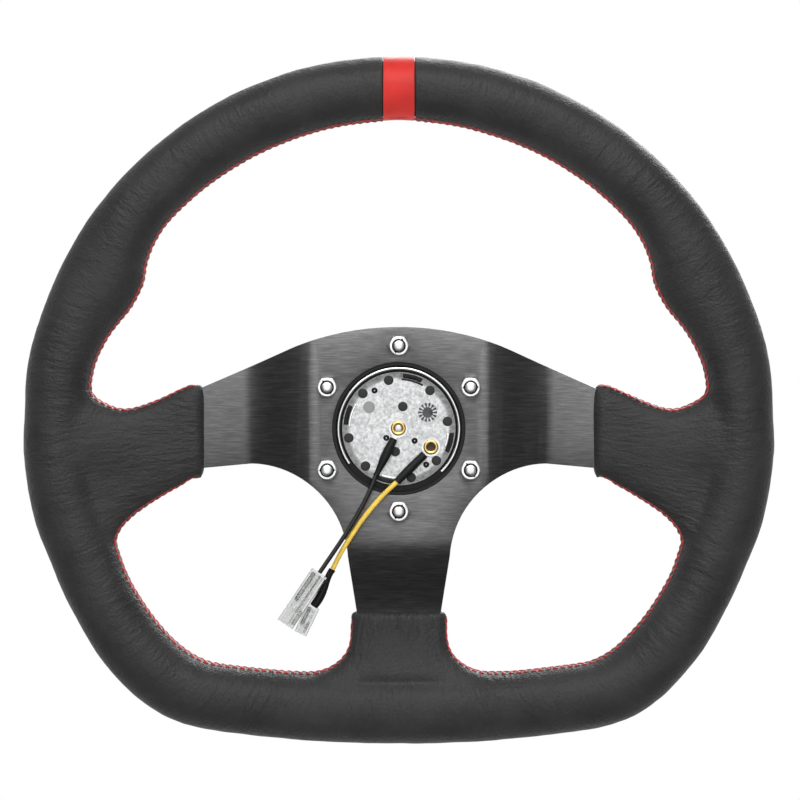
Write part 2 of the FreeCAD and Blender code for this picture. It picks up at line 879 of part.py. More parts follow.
def make_base_details():
    """Rivets, small screws, the stud and the star washer on the base plate."""
    rear = read("base_rear")
    parts = []
    rivets = []
    for step, spot in enumerate(RIVET_SPOTS):
        proud = cell("rivet_proud")
        rivets.append(rod(f"rivet_{step}", cell("rivet_radius"), proud, on_base(spot, rear), -DEPTH))
    parts.append(group("base_rivets", rivets))
    screws = []
    for step, spot in enumerate(BASE_SCREW_SPOTS):
        proud = cell("base_screw_proud")
        head = rod(f"screw_head_{step}", cell("base_screw_radius"), proud, on_base(spot, rear), -DEPTH)
        bore = rod(f"screw_bore_{step}", cell("base_screw_bore"), proud, on_base(spot, rear), -DEPTH)
        screws.append(cut(f"base_screw_{step}", head, bore))
    parts.append(group("base_screws", screws))
    stud = rod("insulator_stud", cell("stud_radius"), cell("stud_proud"), on_base(STUD_SPOT, rear), -DEPTH)
    parts.append(stud)
    disc = rod("star_disc", cell("star_radius"), cell("stud_proud"), on_base(STAR_SPOT, rear), -DEPTH)
    slots = []
    teeth = int(read("star_teeth"))
    wide, deep, start = cell("star_slot_width"), cell("star_slot_depth"), cell("star_slot_start")
    for step in range(teeth):
        turn = FreeCAD.Rotation(DEPTH, 360 * step / teeth)
        corner = on_base(STAR_SPOT, rear - deep.value) + turn.multVec(Vector(-wide.value / 2, 0, start.value))
        slots.append(block(f"star_slot_{step}", wide, deep, start, FreeCAD.Placement(corner, turn)))
    parts.append(cut("star_washer", disc, fuse("star_slots", slots)))
    return parts


def make_terminal(colour, spot, sleeve):
    """An eyelet's ring terminal with its tongue under the heat-shrink."""
    rear = read("base_rear")
    thick = cell("ring_thickness")
    disc = rod(f"{colour}_ring", cell("ring_radius"), thick, on_base(spot, rear), -DEPTH)
    hole = rod(f"{colour}_ring_hole", cell("eyelet_barrel"), thick, on_base(spot, rear), -DEPTH)
    middle = on_base(spot, rear - thick.value)
    towards = Vector(sleeve[1].x - middle.x, 0, sleeve[1].z - middle.z).normalize()
    sideways = DEPTH.cross(towards)
    corner = middle + towards * read("tongue_start") - sideways * (read("tongue_width") / 2)
    place = FreeCAD.Placement(corner, FreeCAD.Rotation(sideways, DEPTH, towards, "ZXY"))
    tongue = block(f"{colour}_tongue", cell("tongue_width"), thick, cell("tongue_length"), place)
    return cut(f"terminal_{colour}", fuse(f"{colour}_blank", [disc, tongue]), hole)


def make_eyelet(name, spot):
    """A brass eyelet through the terminal and the base plate."""
    top = read("base_rear") - read("ring_thickness")
    thick = cell("eyelet_thickness")
    flange = rod(f"{name}_flange", cell("eyelet_flange"), thick, on_base(spot, top), -DEPTH)
    reach = cell("ring_thickness") + cell("base_front") - cell("base_rear")
    barrel = rod(f"{name}_barrel", cell("eyelet_barrel") - cell("eyelet_play"), reach, on_base(spot, top))
    bore = rod(f"{name}_bore", cell("eyelet_bore"), reach * 2, on_base(spot, top - 1))
    return cut(name, fuse(f"{name}_body", [flange, barrel]), bore)


def make_horn_inside():
    """Insulator, fixed contact pads and the three return springs."""
    front = read("base_front")
    thick = cell("insulator_thickness")
    insulator = rod("insulator_disc", cell("insulator_radius"), thick, Vector(0, front, 0))
    level = front + thick.value
    pads = []
    for step, angle in enumerate(SPRING_ANGLES):
        spot = outward_at(angle + 60) * read("spring_circle") + DEPTH * level
        pads.append(rod(f"contact_pad_{step}", cell("pad_radius"), cell("pad_height"), spot))
    springs = []
    wire = read("spring_wire")
    seat = wire + read("spring_end_gap")
    length = read("contact_rear") - level - 2 * seat
    for angle in SPRING_ANGLES:
        spot = outward_at(angle) * read("spring_circle")
        helix = Part.makeHelix(length / read("spring_turns"), length, read("spring_radius"))
        start = Vector(read("spring_radius"), 0, 0)
        section = Part.Wire(Part.Circle(start, Vector(0, 1, 0), wire).toShape())
        coil = Part.Wire(helix).makePipeShell([section], True, True)
        coil.Placement = facing(spot + DEPTH * (level + seat), DEPTH)
        springs.append(coil)
    return [insulator, group("fixed_contact", pads), solid("return_springs", Part.makeCompound(springs))]


def make_horn_button():
    """The pieces the driver pushes: cap, plain insert and contact ring."""
    radius, neck, wall = cell("cap_radius"), cell("cap_neck"), cell("cap_wall")
    flange_rear, flange_front = cell("cap_flange_rear"), cell("cap_flange_front")
    shoulder, front = cell("cap_shoulder"), cell("cap_front")
    crown, insert = cell("cap_crown_radius"), cell("insert_radius")
    recess = front - cell("insert_recess")
    cap = turned_body(
        "horn_cap",
        [
            (0, recess - wall),
            (crown, recess - wall),
            (neck - wall, shoulder - wall),
            (neck - wall, cell("contact_rear") + cell("contact_thickness")),
            (neck, cell("contact_rear") + cell("contact_thickness")),
            (neck, flange_rear),
            (radius, flange_rear),
            (radius, flange_front),
            (neck, flange_front),
            (neck, shoulder),
            (crown, front),
            (insert + cell("insert_gap"), front),
            (insert + cell("insert_gap"), recess),
            (0, recess),
        ],
    )
    disc = turned_body(
        "cap_insert",
        [
            (0, recess),
            (insert, recess),
            (insert, recess + cell("insert_thickness") - cell("insert_bevel")),
            (insert - cell("insert_bevel"), recess + cell("insert_thickness")),
            (0, recess + cell("insert_thickness")),
        ],
    )
    rear = cell("contact_rear")
    ring = turned_body(
        "moving_contact",
        [
            (cell("contact_bore"), rear),
            (neck, rear),
            (neck, rear + cell("contact_thickness")),
            (cell("contact_bore"), rear + cell("contact_thickness")),
        ],
    )
    return [cap, disc, ring]


def connector(name, axis, length, width, depth):
    """A clear housing, open at its mating end, and the metal contact inside it."""
    start, direction = axis
    sideways = DEPTH.cross(direction)
    turn = FreeCAD.Rotation(sideways, DEPTH, direction, "ZXY")
    wall = read("connector_wall")
    corner = start - sideways * (width.value / 2) - DEPTH * (depth.value / 2)
    body = block(f"{name}_body", width, depth, length, FreeCAD.Placement(corner, turn))
    rounded = doc.addObject("Part::Fillet", f"{name}_rounded")
    rounded.Base = body
    doc.recompute()
    radius = read("connector_round")
    long_edges = []
    for index, edge in enumerate(body.Shape.Edges, start=1):
        if abs(edge.tangentAt(0).dot(direction)) > 0.99:
            long_edges.append((index, radius, radius))
    rounded.Edges = long_edges
    inner_corner = corner + sideways * wall + DEPTH * wall + direction * wall
    walls = cell("connector_wall") * 2
    inner_place = FreeCAD.Placement(inner_corner, turn)
    cavity = block(f"{name}_cavity", width - walls, depth - walls, length, inner_place)
    housing = cut(f"connector_{name}", rounded, cavity)
    gap, skin = cell("contact_gap"), cell("contact_wall")
    contact_corner = inner_corner + sideways * gap.value + DEPTH * gap.value
    blade = block(
        f"{name}_blade",
        width - walls - gap * 2,
        depth - walls - gap * 2,
        length * 0.7,
        FreeCAD.Placement(contact_corner, turn),
    )
    groove_corner = contact_corner + sideways * skin.value + direction * (length.value * 0.3)
    groove = block(
        f"{name}_groove",
        width - walls - gap * 2 - skin * 2,
        depth - walls - gap * 2 - skin,
        length * 0.5,
        FreeCAD.Placement(groove_corner, turn),
    )
    return [housing, cut(f"contact_{name}", blade, groove)]


def sleeve_sections(start, stop, radii):
    """Even sections along a straight sleeve."""
    steps = len(radii) - 1
    return [(start + (stop - start) * (step / steps), radius) for step, radius in enumerate(radii)]


def make_leads():
    """Heat-shrink, leads, connector sleeve and the two connectors."""
    parts = [
        tapered_sleeve("shrink_black", sleeve_sections(*BLACK_SHRINK)),
        tapered_sleeve("shrink_yellow", sleeve_sections(*YELLOW_SHRINK)),
        cord_tube("wire_black", BLACK_ROUTE, read("black_lead_radius")),
        cord_tube("wire_yellow", YELLOW_ROUTE, read("yellow_lead_radius")),
        tapered_sleeve("connector_sleeve", CONNECTOR_SLEEVE),
    ]
    parts += connector("large", LARGE_AXIS, cell("large_length"), cell("large_width"), cell("large_depth"))
    parts += connector("small", SMALL_AXIS, cell("small_length"), cell("small_width"), cell("small_depth"))
    return parts


def weld_blocks():
    """The three blocks of weld metal, before hoop and plate are taken out."""
    length, deep, reach = read("weld_length"), read("weld_depth"), read("weld_reach")
    rear = rim_plane() - deep / 2
    middle = -(read("tip_top_drop") + read("tip_bottom_drop")) / 2
    side = Part.makeBox(reach, deep, length, Vector(read("tip_line") - reach / 2, rear, middle - length / 2))
    low = -read("leg_tip_line") - reach / 2
    foot = Part.makeBox(length, deep, reach, Vector(-length / 2, rear, low))
    return [side, mirrored(side), foot]


def make_rim(plate):
    """Hoop, welds, foam, leather, boots, marker and seam threads round the finished plate."""
    doc.recompute()
    plate_shape = plate.Shape
    skin = read("leather")
    gap = read("leather_gap")
    core = half_core(read("core_radius"))
    core = core.fuse(mirrored(core))
    welds = weld_blocks()
    weld_solids = Part.makeCompound([item.cut([core, plate_shape]) for item in welds]).Solids
    foam = half_rim(skin + gap).cut([half_core(read("core_radius") + read("core_gap")), plate_shape] + welds)

    half_marker = read("marker_width") / 2
    deep = 4 * read("rim_half_depth")
    corner = Vector(0, rim_plane() - deep / 2, read("marker_band_base"))
    band = Part.makeBox(half_marker, deep, read("marker_band_height"), corner)
    gap_band = Part.makeBox(half_marker + read("marker_gap"), deep, read("marker_band_height"), corner)
    shell = half_rim(0).cut([half_rim(skin), plate_shape])
    leather = shell.cut(gap_band)
    marker = shell.common(band)

    rim_clear = half_rim(-gap)
    right_boot = side_boot().cut([rim_clear, plate_shape])
    foot_boot = bottom_boot().cut([rim_clear, mirrored(rim_clear), plate_shape])
    lower_seam = seam_thread(-30, -66)
    return [
        solid("rim_core", core),
        solid("spoke_welds", Part.makeCompound(weld_solids)),
        solid("rim_foam", foam.fuse(mirrored(foam))),
        solid("rim_leather_right", leather),
        solid("rim_leather_left", mirrored(leather)),
        solid("centre_marker", marker.fuse(mirrored(marker))),
        solid("boot_right", right_boot),
        solid("boot_left", mirrored(right_boot)),
        solid("boot_bottom", foot_boot),
        solid("seam_top", seam_thread(168, 12)),
        solid("seam_right", lower_seam),
        solid("seam_left", mirrored(lower_seam)),
    ]


def single_solid(shape):
    """The shape without a compound round it when it holds one solid."""
    return shape.Solids[0] if len(shape.Solids) == 1 else shape


def check_and_export(parts):
    """Stop on any failed object, then write one STEP file for each sub-part."""
    doc.recompute()
    failed = [item.Name for item in doc.Objects if "Invalid" in item.State or "Error" in item.State]
    if failed:
        raise RuntimeError(f"failed objects: {failed}")
    os.makedirs("parts", exist_ok=True)
    for item in parts:
        shape = item.Shape
        if shape.isNull() or not shape.isValid() or not shape.Solids:
            raise RuntimeError(f"bad shape: {item.Label}")
    for item in parts:
        single_solid(item.Shape).exportStep(f"parts/{item.Label}.step")
        print(f"{item.Label}: {len(item.Shape.Solids)} solids, {item.Shape.Volume:.1f} mm3")


def main():
    """Build every sub-part and write its file."""
    fill_sheet()
    plate = make_spoke_plate()
    parts = [plate, make_hub_screws(), make_hub_nuts()]
    parts += [make_horn_housing(), make_clip_ring(), make_base_plate(), make_base_clips()]
    parts += make_base_details()
    parts += [
        make_terminal("black", CENTRE_SPOT, BLACK_SHRINK),
        make_terminal("yellow", SIDE_SPOT, YELLOW_SHRINK),
        make_eyelet("centre_eyelet", CENTRE_SPOT),
        make_eyelet("side_eyelet", SIDE_SPOT),
    ]
    parts += make_horn_inside()
    parts += make_horn_button()
    parts += make_leads()
    parts += make_rim(plate)
    check_and_export(parts)


main()
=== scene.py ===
"""Looks of a flat-bottomed leather steering wheel with its hub plate, horn button and horn leads.

Metres. Y = 0 is the hub's rear face, +Y points to the driver and +Z is up.
"""

import bisect
import json
import logging
import math
from collections.abc import Iterable, Sequence
from dataclasses import dataclass, field
from enum import Enum

import bmesh
import bpy
from mathutils import Matrix, Vector, noise
from mathutils.bvhtree import BVHTree
from mathutils.kdtree import KDTree

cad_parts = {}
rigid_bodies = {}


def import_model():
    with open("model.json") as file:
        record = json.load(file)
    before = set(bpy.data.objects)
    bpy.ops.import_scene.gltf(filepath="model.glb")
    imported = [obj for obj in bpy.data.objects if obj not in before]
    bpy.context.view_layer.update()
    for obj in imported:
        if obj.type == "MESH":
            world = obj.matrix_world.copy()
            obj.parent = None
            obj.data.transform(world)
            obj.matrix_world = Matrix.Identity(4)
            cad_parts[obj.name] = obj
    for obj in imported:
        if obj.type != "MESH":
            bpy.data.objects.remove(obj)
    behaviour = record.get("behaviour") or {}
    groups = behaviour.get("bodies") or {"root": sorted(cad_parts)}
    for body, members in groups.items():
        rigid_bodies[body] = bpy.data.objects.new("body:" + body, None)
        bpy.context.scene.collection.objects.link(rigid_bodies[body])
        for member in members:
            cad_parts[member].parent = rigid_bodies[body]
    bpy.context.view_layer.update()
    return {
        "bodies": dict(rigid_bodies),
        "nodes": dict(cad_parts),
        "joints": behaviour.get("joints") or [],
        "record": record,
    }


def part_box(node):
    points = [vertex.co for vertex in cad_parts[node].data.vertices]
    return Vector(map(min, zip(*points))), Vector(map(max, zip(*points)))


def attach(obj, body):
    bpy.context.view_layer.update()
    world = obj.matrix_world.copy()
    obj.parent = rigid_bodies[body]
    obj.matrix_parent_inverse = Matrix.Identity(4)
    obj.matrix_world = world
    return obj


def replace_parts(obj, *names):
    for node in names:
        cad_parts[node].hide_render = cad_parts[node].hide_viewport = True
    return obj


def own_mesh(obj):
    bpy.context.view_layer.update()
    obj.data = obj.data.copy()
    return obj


log = logging.getLogger("wheel")

Shape = bmesh.types.BMesh
Edges = list[bmesh.types.BMEdge]
Socket = bpy.types.NodeSocket
Material = bpy.types.Material
Pair = tuple[float, float]
Triple = tuple[float, float, float]
Colour = Triple

MM = 0.001
DEPTH = Vector((0.0, 1.0, 0.0))
RIM_REACH = 0.145


def eased(part: float) -> float:
    """A share from 0 to 1, eased in and out."""
    return part * part * (3 - 2 * part)


def share(place: float, limits: Pair) -> float:
    """How far a place is from one limit to the other, from 0 to 1."""
    return min(max((place - limits[0]) / (limits[1] - limits[0]), 0.0), 1.0)


def tinted(colour: Colour, gain: float) -> Colour:
    """The colour made lighter or darker by this gain."""
    return tuple(min(channel * gain, 1.0) for channel in colour)


class Body(Enum):
    """The two bodies that pieces ride on."""

    WHEEL = "wheel"
    HORN = "horn_button"


# ---- material bench ----


class Bench:
    """A new material's node tree, with short calls that add and join nodes."""

    def __init__(self, name: str) -> None:
        """Start a material of this name with its one shader."""
        self.material = bpy.data.materials.new(name)
        self.material.use_nodes = True
        self.tree = self.material.node_tree
        self.shader = self.tree.nodes["Principled BSDF"]

    def add(self, kind: str, **settings: object) -> bpy.types.Node:
        """Add a node.

        Args:
            kind: The node's type name.
            **settings: Properties set on the node.

        Returns:
            The node.
        """
        node = self.tree.nodes.new(kind)
        for name, value in settings.items():
            setattr(node, name, value)
        return node

    def join(self, source: Socket, target: Socket) -> None:
        """Link an output to an input."""
        self.tree.links.new(source, target)

    def fix(self, **values: object) -> None:
        """Set constants on the shader's own sockets, with underscores for the spaces in their names."""
        for name, value in values.items():
            self.shader.inputs[name.replace("_", " ")].default_value = value

    def feed(self, name: str, source: Socket) -> None:
        """Link an output to one of the shader's inputs."""
        self.join(source, self.shader.inputs[name])

    def place(self, scale: Colour = (1.0, 1.0, 1.0), turn: Colour = (0.0, 0.0, 0.0)) -> Socket:
        """Object coordinates, scaled and turned.

        Args:
            scale: Scale along each axis.
            turn: Turn about each axis, in radians.

        Returns:
            The mapped coordinates.
        """
        mapping = self.add("ShaderNodeMapping")
        mapping.inputs["Scale"].default_value = scale
        mapping.inputs["Rotation"].default_value = turn
        self.join(self.add("ShaderNodeTexCoord").outputs["Object"], mapping.inputs["Vector"])
        return mapping.outputs["Vector"]

    def maths(self, operation: str, *terms: Socket | float) -> Socket:
        """One sum.

        Args:
            operation: The Math node's operation.
            *terms: Sockets or numbers, in order.

        Returns:
            The result.
        """
        node = self.add("ShaderNodeMath", operation=operation)
        for index, term in enumerate(terms):
            if isinstance(term, Socket):
                self.join(term, node.inputs[index])
            else:
                node.inputs[index].default_value = term
        return node.outputs[0]

    def away(self, across: Socket, up: Socket) -> Socket:
        """The distance from the hub's axis."""
        squares = self.maths("ADD", self.maths("MULTIPLY", across, across), self.maths("MULTIPLY", up, up))
        return self.maths("SQRT", squares)

    def polar(self, scale: Colour) -> Socket:
        """Coordinates along the rim, away from the hub and in depth, cut at the top of the wheel.

        Args:
            scale: Scale of the three coordinates.

        Returns:
            The coordinates.
        """
        split = self.add("ShaderNodeSeparateXYZ")
        self.join(self.place(), split.inputs[0])
        across, deep, up = split.outputs
        angle = self.maths("ARCTAN2", across, self.maths("MULTIPLY", up, -1.0))
        reach = self.away(across, up)
        merge = self.add("ShaderNodeCombineXYZ")
        self.join(self.maths("MULTIPLY", angle, RIM_REACH * scale[0]), merge.inputs[0])
        self.join(self.maths("MULTIPLY", reach, scale[1]), merge.inputs[1])
        self.join(self.maths("MULTIPLY", deep, scale[2]), merge.inputs[2])
        return merge.outputs[0]

    def noise(
        self,
        point: Socket,
        scale: float,
        detail: float = 3.0,
        roughness: float = 0.5,
        warp: float = 0.0,
    ) -> Socket:
        """A noise value.

        Args:
            point: Coordinates.
            scale: Noise scale over them.
            detail: Octaves.
            roughness: Weight of the finer octaves.
            warp: How much the pattern is distorted.

        Returns:
            The value.
        """
        node = self.add("ShaderNodeTexNoise")
        node.inputs["Scale"].default_value = scale
        node.inputs["Detail"].default_value = detail
        node.inputs["Roughness"].default_value = roughness
        node.inputs["Distortion"].default_value = warp
        self.join(point, node.inputs["Vector"])
        return node.outputs["Fac"]

    def cells(self, point: Socket, scale: float) -> Socket:
        """The distance output of a cell pattern.

        Args:
            point: Coordinates.
            scale: Cells for each unit of them.

        Returns:
            The distance.
        """
        node = self.add("ShaderNodeTexVoronoi")
        node.inputs["Scale"].default_value = scale
        self.join(point, node.inputs["Vector"])
        return node.outputs["Distance"]

    def ramp(self, value: Socket, stops: Sequence[tuple[float, Colour]]) -> Socket:
        """A value turned into a colour.

        Args:
            value: The value.
            stops: Position and colour of each stop.

        Returns:
            The colour.
        """
        node = self.add("ShaderNodeValToRGB")
        elements = node.color_ramp.elements
        while len(elements) < len(stops):
            elements.new(0.5)
        for element, (position, colour) in zip(elements, stops):
            element.position = position
            element.color = (*colour, 1.0)
        self.join(value, node.inputs["Fac"])
        return node.outputs["Color"]

    def tint(self, value: Socket, colour: Colour, *stops: Pair) -> None:
        """Feed the base colour, darker and lighter by a value.

        Args:
            value: The value.
            colour: The plain colour.
            *stops: Position and gain of each stop.
        """
        self.feed("Base Color", self.ramp(value, [(place, tinted(colour, gain)) for place, gain in stops]))

    def span(self, value: Socket, low: float, high: float) -> Socket:
        """A noise value spread over a range.

        Args:
            value: The value, mostly from 0.3 to 0.7.
            low: Result at 0.3.
            high: Result at 0.7.

        Returns:
            The spread value.
        """
        node = self.add("ShaderNodeMapRange")
        for name, number in (("From Min", 0.3), ("From Max", 0.7), ("To Min", low), ("To Max", high)):
            node.inputs[name].default_value = number
        self.join(value, node.inputs["Value"])
        return node.outputs["Result"]

    def bumps(self, *layers: tuple[Socket, float]) -> None:
        """Chain bump layers into the shader's normal.

        Args:
            *layers: Height value and its depth in millimetres for each layer.
        """
        normal = None
        for height, depth in layers:
            node = self.add("ShaderNodeBump")
            node.inputs["Strength"].default_value = 1.0
            node.inputs["Distance"].default_value = depth * MM
            self.join(height, node.inputs["Height"])
            if normal is not None:
                self.join(normal, node.inputs["Normal"])
            normal = node.outputs["Normal"]
        self.feed("Normal", normal)


# ---- finishes ----


@dataclass(frozen=True)
class Leather:
    """Grained leather pulled tight over foam, with fine creases across the rim."""

    name: str
    colour: Colour
    roughness: float = 0.5
    grain: float = 0.15
    creases: float = 0.6
    gloss: float = 0.3

    def build(self) -> Material:
        """Make the material."""
        bench = Bench(self.name)
        pores = bench.cells(bench.place(), 820.0)
        fine = bench.noise(bench.place(), 2600.0, 2.0)
        crease = bench.noise(bench.polar((500.0, 150.0, 150.0)), 1.0, 3.0, 0.6, 0.7)
        folds = bench.noise(bench.polar((290.0, 80.0, 80.0)), 1.0, 2.0, 0.5, 0.5)
        patches = bench.noise(bench.place(), 45.0, 4.0, 0.6)
        bench.tint(patches, self.colour, (0.3, 0.8), (0.7, 1.2))
        calm = bench.span(bench.noise(bench.place(), 26.0, 2.0), 0.25, 1.0)
        crease = bench.maths("MULTIPLY", crease, calm)
        folds = bench.maths("MULTIPLY", folds, calm)
        bench.feed("Roughness", bench.span(patches, self.roughness - 0.05, self.roughness + 0.07))
        bench.fix(Specular_IOR_Level=self.gloss, Sheen_Weight=0.04, Sheen_Roughness=0.4)
        bench.bumps(
            (folds, self.creases * 1.7), (crease, self.creases), (pores, self.grain), (fine, self.grain * 0.4)
        )
        return bench.material


@dataclass(frozen=True)
class Thread:
    """Twisted thread, with a painted highlight along the top of its strands."""

    name: str
    colour: Colour

    def build(self) -> Material:
        """Make the material."""
        bench = Bench(self.name)
        strands = bench.noise(bench.place((1.0, 1.0, 1.0), (0.6, 0.4, 0.8)), 2400.0, 2.0)
        # painted highlight: the noise that raises the strands also makes their tops paler
        bench.tint(strands, self.colour, (0.35, 0.55), (0.6, 1.25))
        bench.fix(Roughness=0.62, Sheen_Weight=0.25)
        bench.bumps((strands, 0.12))
        return bench.material


@dataclass(frozen=True)
class BrushedPlate:
    """Black anodised metal with horizontal brush lines."""

    name: str
    colour: Colour
    roughness: float = 0.3

    def build(self) -> Material:
        """Make the material."""
        bench = Bench(self.name)
        lines = bench.noise(bench.place((40.0, 500.0, 2600.0)), 1.0, 4.0, 0.6)
        streaks = bench.noise(bench.place((120.0, 60.0, 1700.0)), 1.0, 5.0, 0.65)
        patches = bench.noise(bench.place(), 30.0, 3.0)
        stops = [(0.3, tinted(self.colour, 0.7)), (0.5, self.colour), (0.7, tinted(self.colour, 1.45))]
        bench.feed("Base Color", bench.ramp(streaks, stops))
        bench.feed("Roughness", bench.span(patches, self.roughness - 0.05, self.roughness + 0.07))
        bench.fix(Metallic=1.0)
        bench.bumps((streaks, 0.03), (lines, 0.02))
        return bench.material


@dataclass(frozen=True)
class WornMetal:
    """Plated or bare metal with faint mottling and hairlines, and where asked a painted shade outside a radius
    about the hub's axis.
    """

    name: str
    colour: Colour
    roughness: float = 0.25
    mottle: float = 0.15
    grain: float = 0.01
    painted_ring_shade: float = 1.0
    rim_start: float = 0.0
    spots: float = 380.0
    metal: float = 1.0

    def build(self) -> Material:
        """Make the material."""
        bench = Bench(self.name)
        patches = bench.noise(bench.place(), self.spots, 5.0, 0.66)
        hairs = bench.noise(bench.place((900.0, 900.0, 180.0), (0.3, 0.0, 0.5)), 1.0, 3.0, 0.6)
        dull, bright = tinted(self.colour, 1.0 - self.mottle), tinted(self.colour, 1.0 + self.mottle)
        shade = bench.ramp(patches, [(0.3, dull), (0.68, bright)])
        # painted shade: the colour is darkened outside a radius about the hub's axis
        if self.painted_ring_shade < 1.0:
            shade = self.shade_outer_ring(bench, shade)
        bench.feed("Base Color", shade)
        bench.feed("Roughness", bench.span(patches, self.roughness + 0.1, self.roughness - 0.04))
        bench.fix(Metallic=self.metal)
        bench.bumps((patches, self.grain * 2.0), (hairs, self.grain))
        return bench.material

    def shade_outer_ring(self, bench: Bench, shade: Socket) -> Socket:
        """Paint shade on the metal outside a radius about the hub's axis, for the plate's sloped edge lying in
        shadow in its recess.

        Args:
            bench: The material's bench.
            shade: The colour so far.

        Returns:
            The colour with its dull edge.
        """
        split = bench.add("ShaderNodeSeparateXYZ")
        bench.join(bench.place(), split.inputs[0])
        across, _, up = split.outputs
        reach = bench.add("ShaderNodeMapRange", interpolation_type="SMOOTHSTEP")
        bench.join(bench.away(across, up), reach.inputs["Value"])
        reach.inputs["From Min"].default_value = self.rim_start
        reach.inputs["From Max"].default_value = self.rim_start + 1.5 * MM
        reach.inputs["To Min"].default_value = 1.0
        reach.inputs["To Max"].default_value = self.painted_ring_shade
        mix = bench.add("ShaderNodeVectorMath", operation="SCALE")
        bench.join(shade, mix.inputs[0])
        bench.join(reach.outputs["Result"], mix.inputs["Scale"])
        return mix.outputs[0]


@dataclass(frozen=True)
class MouldedPlastic:
    """Moulded plastic, rubber or fibre with a fine skin."""

    name: str
    colour: Colour
    roughness: float = 0.4
    texture: float = 0.01
    scale: float = 900.0
    coat: float = 0.0
    gloss: float = 0.5

    def build(self) -> Material:
        """Make the material."""
        bench = Bench(self.name)
        skin = bench.noise(bench.place(), self.scale, 3.0, 0.6)
        clouds = bench.noise(bench.place(), 150.0, 4.0, 0.6)
        bench.tint(clouds, self.colour, (0.3, 0.82), (0.7, 1.18))
        bench.feed("Roughness", bench.span(clouds, self.roughness - 0.05, self.roughness + 0.07))
        bench.fix(Specular_IOR_Level=self.gloss, Coat_Weight=self.coat, Coat_Roughness=0.12)
        bench.bumps((skin, self.texture))
        return bench.material


@dataclass(frozen=True)
class ClearPlastic:
    """Clear moulded nylon, a little cloudy."""

    name: str
    colour: Colour
    roughness: float = 0.06

    def build(self) -> Material:
        """Make the material."""
        bench = Bench(self.name)
        clouds = bench.noise(bench.place(), 420.0, 3.0)
        bench.tint(clouds, self.colour, (0.3, 0.9), (0.7, 1.05))
        bench.feed("Roughness", bench.span(clouds, self.roughness - 0.03, self.roughness + 0.06))
        bench.fix(IOR=1.47, Transmission_Weight=0.96)
        bench.bumps((clouds, 0.008))
        return bench.material


# ---- mesh helpers ----


def finished_piece(
    name: str, bm: Shape, material: Material, body: Body = Body.WHEEL
) -> bpy.types.Object:
    """Turn a bmesh into a smooth piece that rides on its body.

    Args:
        name: The piece's name.
        bm: Its shape, which is freed.
        material: Its finish.
        body: The body that it moves with.

    Returns:
        The piece.
    """
    mesh = bpy.data.meshes.new(name)
    bm.to_mesh(mesh)
    bm.free()
    mesh.shade_smooth()
    mesh.materials.append(material)
    piece = bpy.data.objects.new(name, mesh)
    bpy.context.scene.collection.objects.link(piece)
    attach(piece, body.value)
    log.info("%s: %d faces", name, len(mesh.polygons))
    return piece


def modified_mesh(name: str, bm: Shape, kind: str, **settings: object) -> Shape:
    """Put a bmesh through one modifier.

    Args:
        name: Name for the passing object.
        bm: The shape, which is freed.
        kind: The modifier's type.
        **settings: Its properties.

    Returns:
        The modified shape.
    """
    mesh = bpy.data.meshes.new(name)
    bm.to_mesh(mesh)
    bm.free()
    carrier = bpy.data.objects.new(name, mesh)
    bpy.context.scene.collection.objects.link(carrier)
    modifier = carrier.modifiers.new(kind.lower(), kind)
    for key, value in settings.items():
        setattr(modifier, key, value)
    graph = bpy.context.evaluated_depsgraph_get()
    result = bpy.data.meshes.new_from_object(carrier.evaluated_get(graph))
    fresh = bmesh.new()
    fresh.from_mesh(result)
    bpy.data.objects.remove(carrier)
    bpy.data.meshes.remove(mesh)
    bpy.data.meshes.remove(result)
    return fresh


def frame_at(centre: Vector, across: Vector, deep: Vector) -> Matrix:
    """The matrix that puts a unit circle's axes on across and deep, about centre."""
    third = across.cross(deep).normalized()
    return Matrix.Translation(centre) @ Matrix((across, deep, third)).transposed().to_4x4()


def facing_ring(place: Vector, radius: float, depth: float) -> Matrix:
    """The frame of a ring that faces along the depth axis, in millimetres."""
    return frame_at(place + DEPTH * depth, Vector((radius, 0, 0)), Vector((0, 0, radius)))


def ring_edges(verts: Iterable[bmesh.types.BMVert]) -> Edges:
    """The edges that join the vertices of one open circle."""
    own = set(verts)
    touching = {edge for vert in own for edge in vert.link_edges}
    return [edge for edge in touching if own.issuperset(edge.verts)]


def section(bm: Shape, matrix: Matrix, segments: int, squareness: float = 2.0) -> Edges:
    """Add one open section: an ellipse, or squarer with a higher squareness.

    Args:
        bm: Where it goes.
        matrix: Its frame, as frame_at gives.
        segments: Vertices round it.
        squareness: 2 for an ellipse.

    Returns:
        Its edges.
    """
    verts = bmesh.ops.create_circle(bm, cap_ends=False, radius=1.0, segments=segments)["verts"]
    edges = ring_edges(verts)
    for vert in verts:
        vert.co = matrix @ Vector(
            (*(math.copysign(abs(part) ** (2 / squareness), part) for part in vert.co[:2]), 0.0)
        )
    return edges


def everything(bm: Shape) -> list[bmesh.types.BMVert | bmesh.types.BMEdge | bmesh.types.BMFace]:
    """All vertices, edges and faces, as the cutting operators take them."""
    return list(bm.verts) + list(bm.edges) + list(bm.faces)


def in_metres(bm: Shape) -> None:
    """Face a closed shape's skin outwards and turn its millimetres into metres."""
    bmesh.ops.recalc_face_normals(bm, faces=bm.faces)
    bmesh.ops.scale(bm, verts=bm.verts, vec=(MM, MM, MM))


def turned_rings(
    bm: Shape, place: Vector, rings: Iterable[Pair], segments: int, closed: bool = False
) -> None:
    """Loft a round shape about the depth axis through radius and depth pairs.

    Args:
        bm: Where it goes.
        place: Its centre.
        rings: Radius and depth of each ring.
        segments: Vertices round it.
        closed: Whether the last ring meets the first.
    """
    lofted(bm, [section(bm, facing_ring(place, radius, depth), segments) for radius, depth in rings], closed)


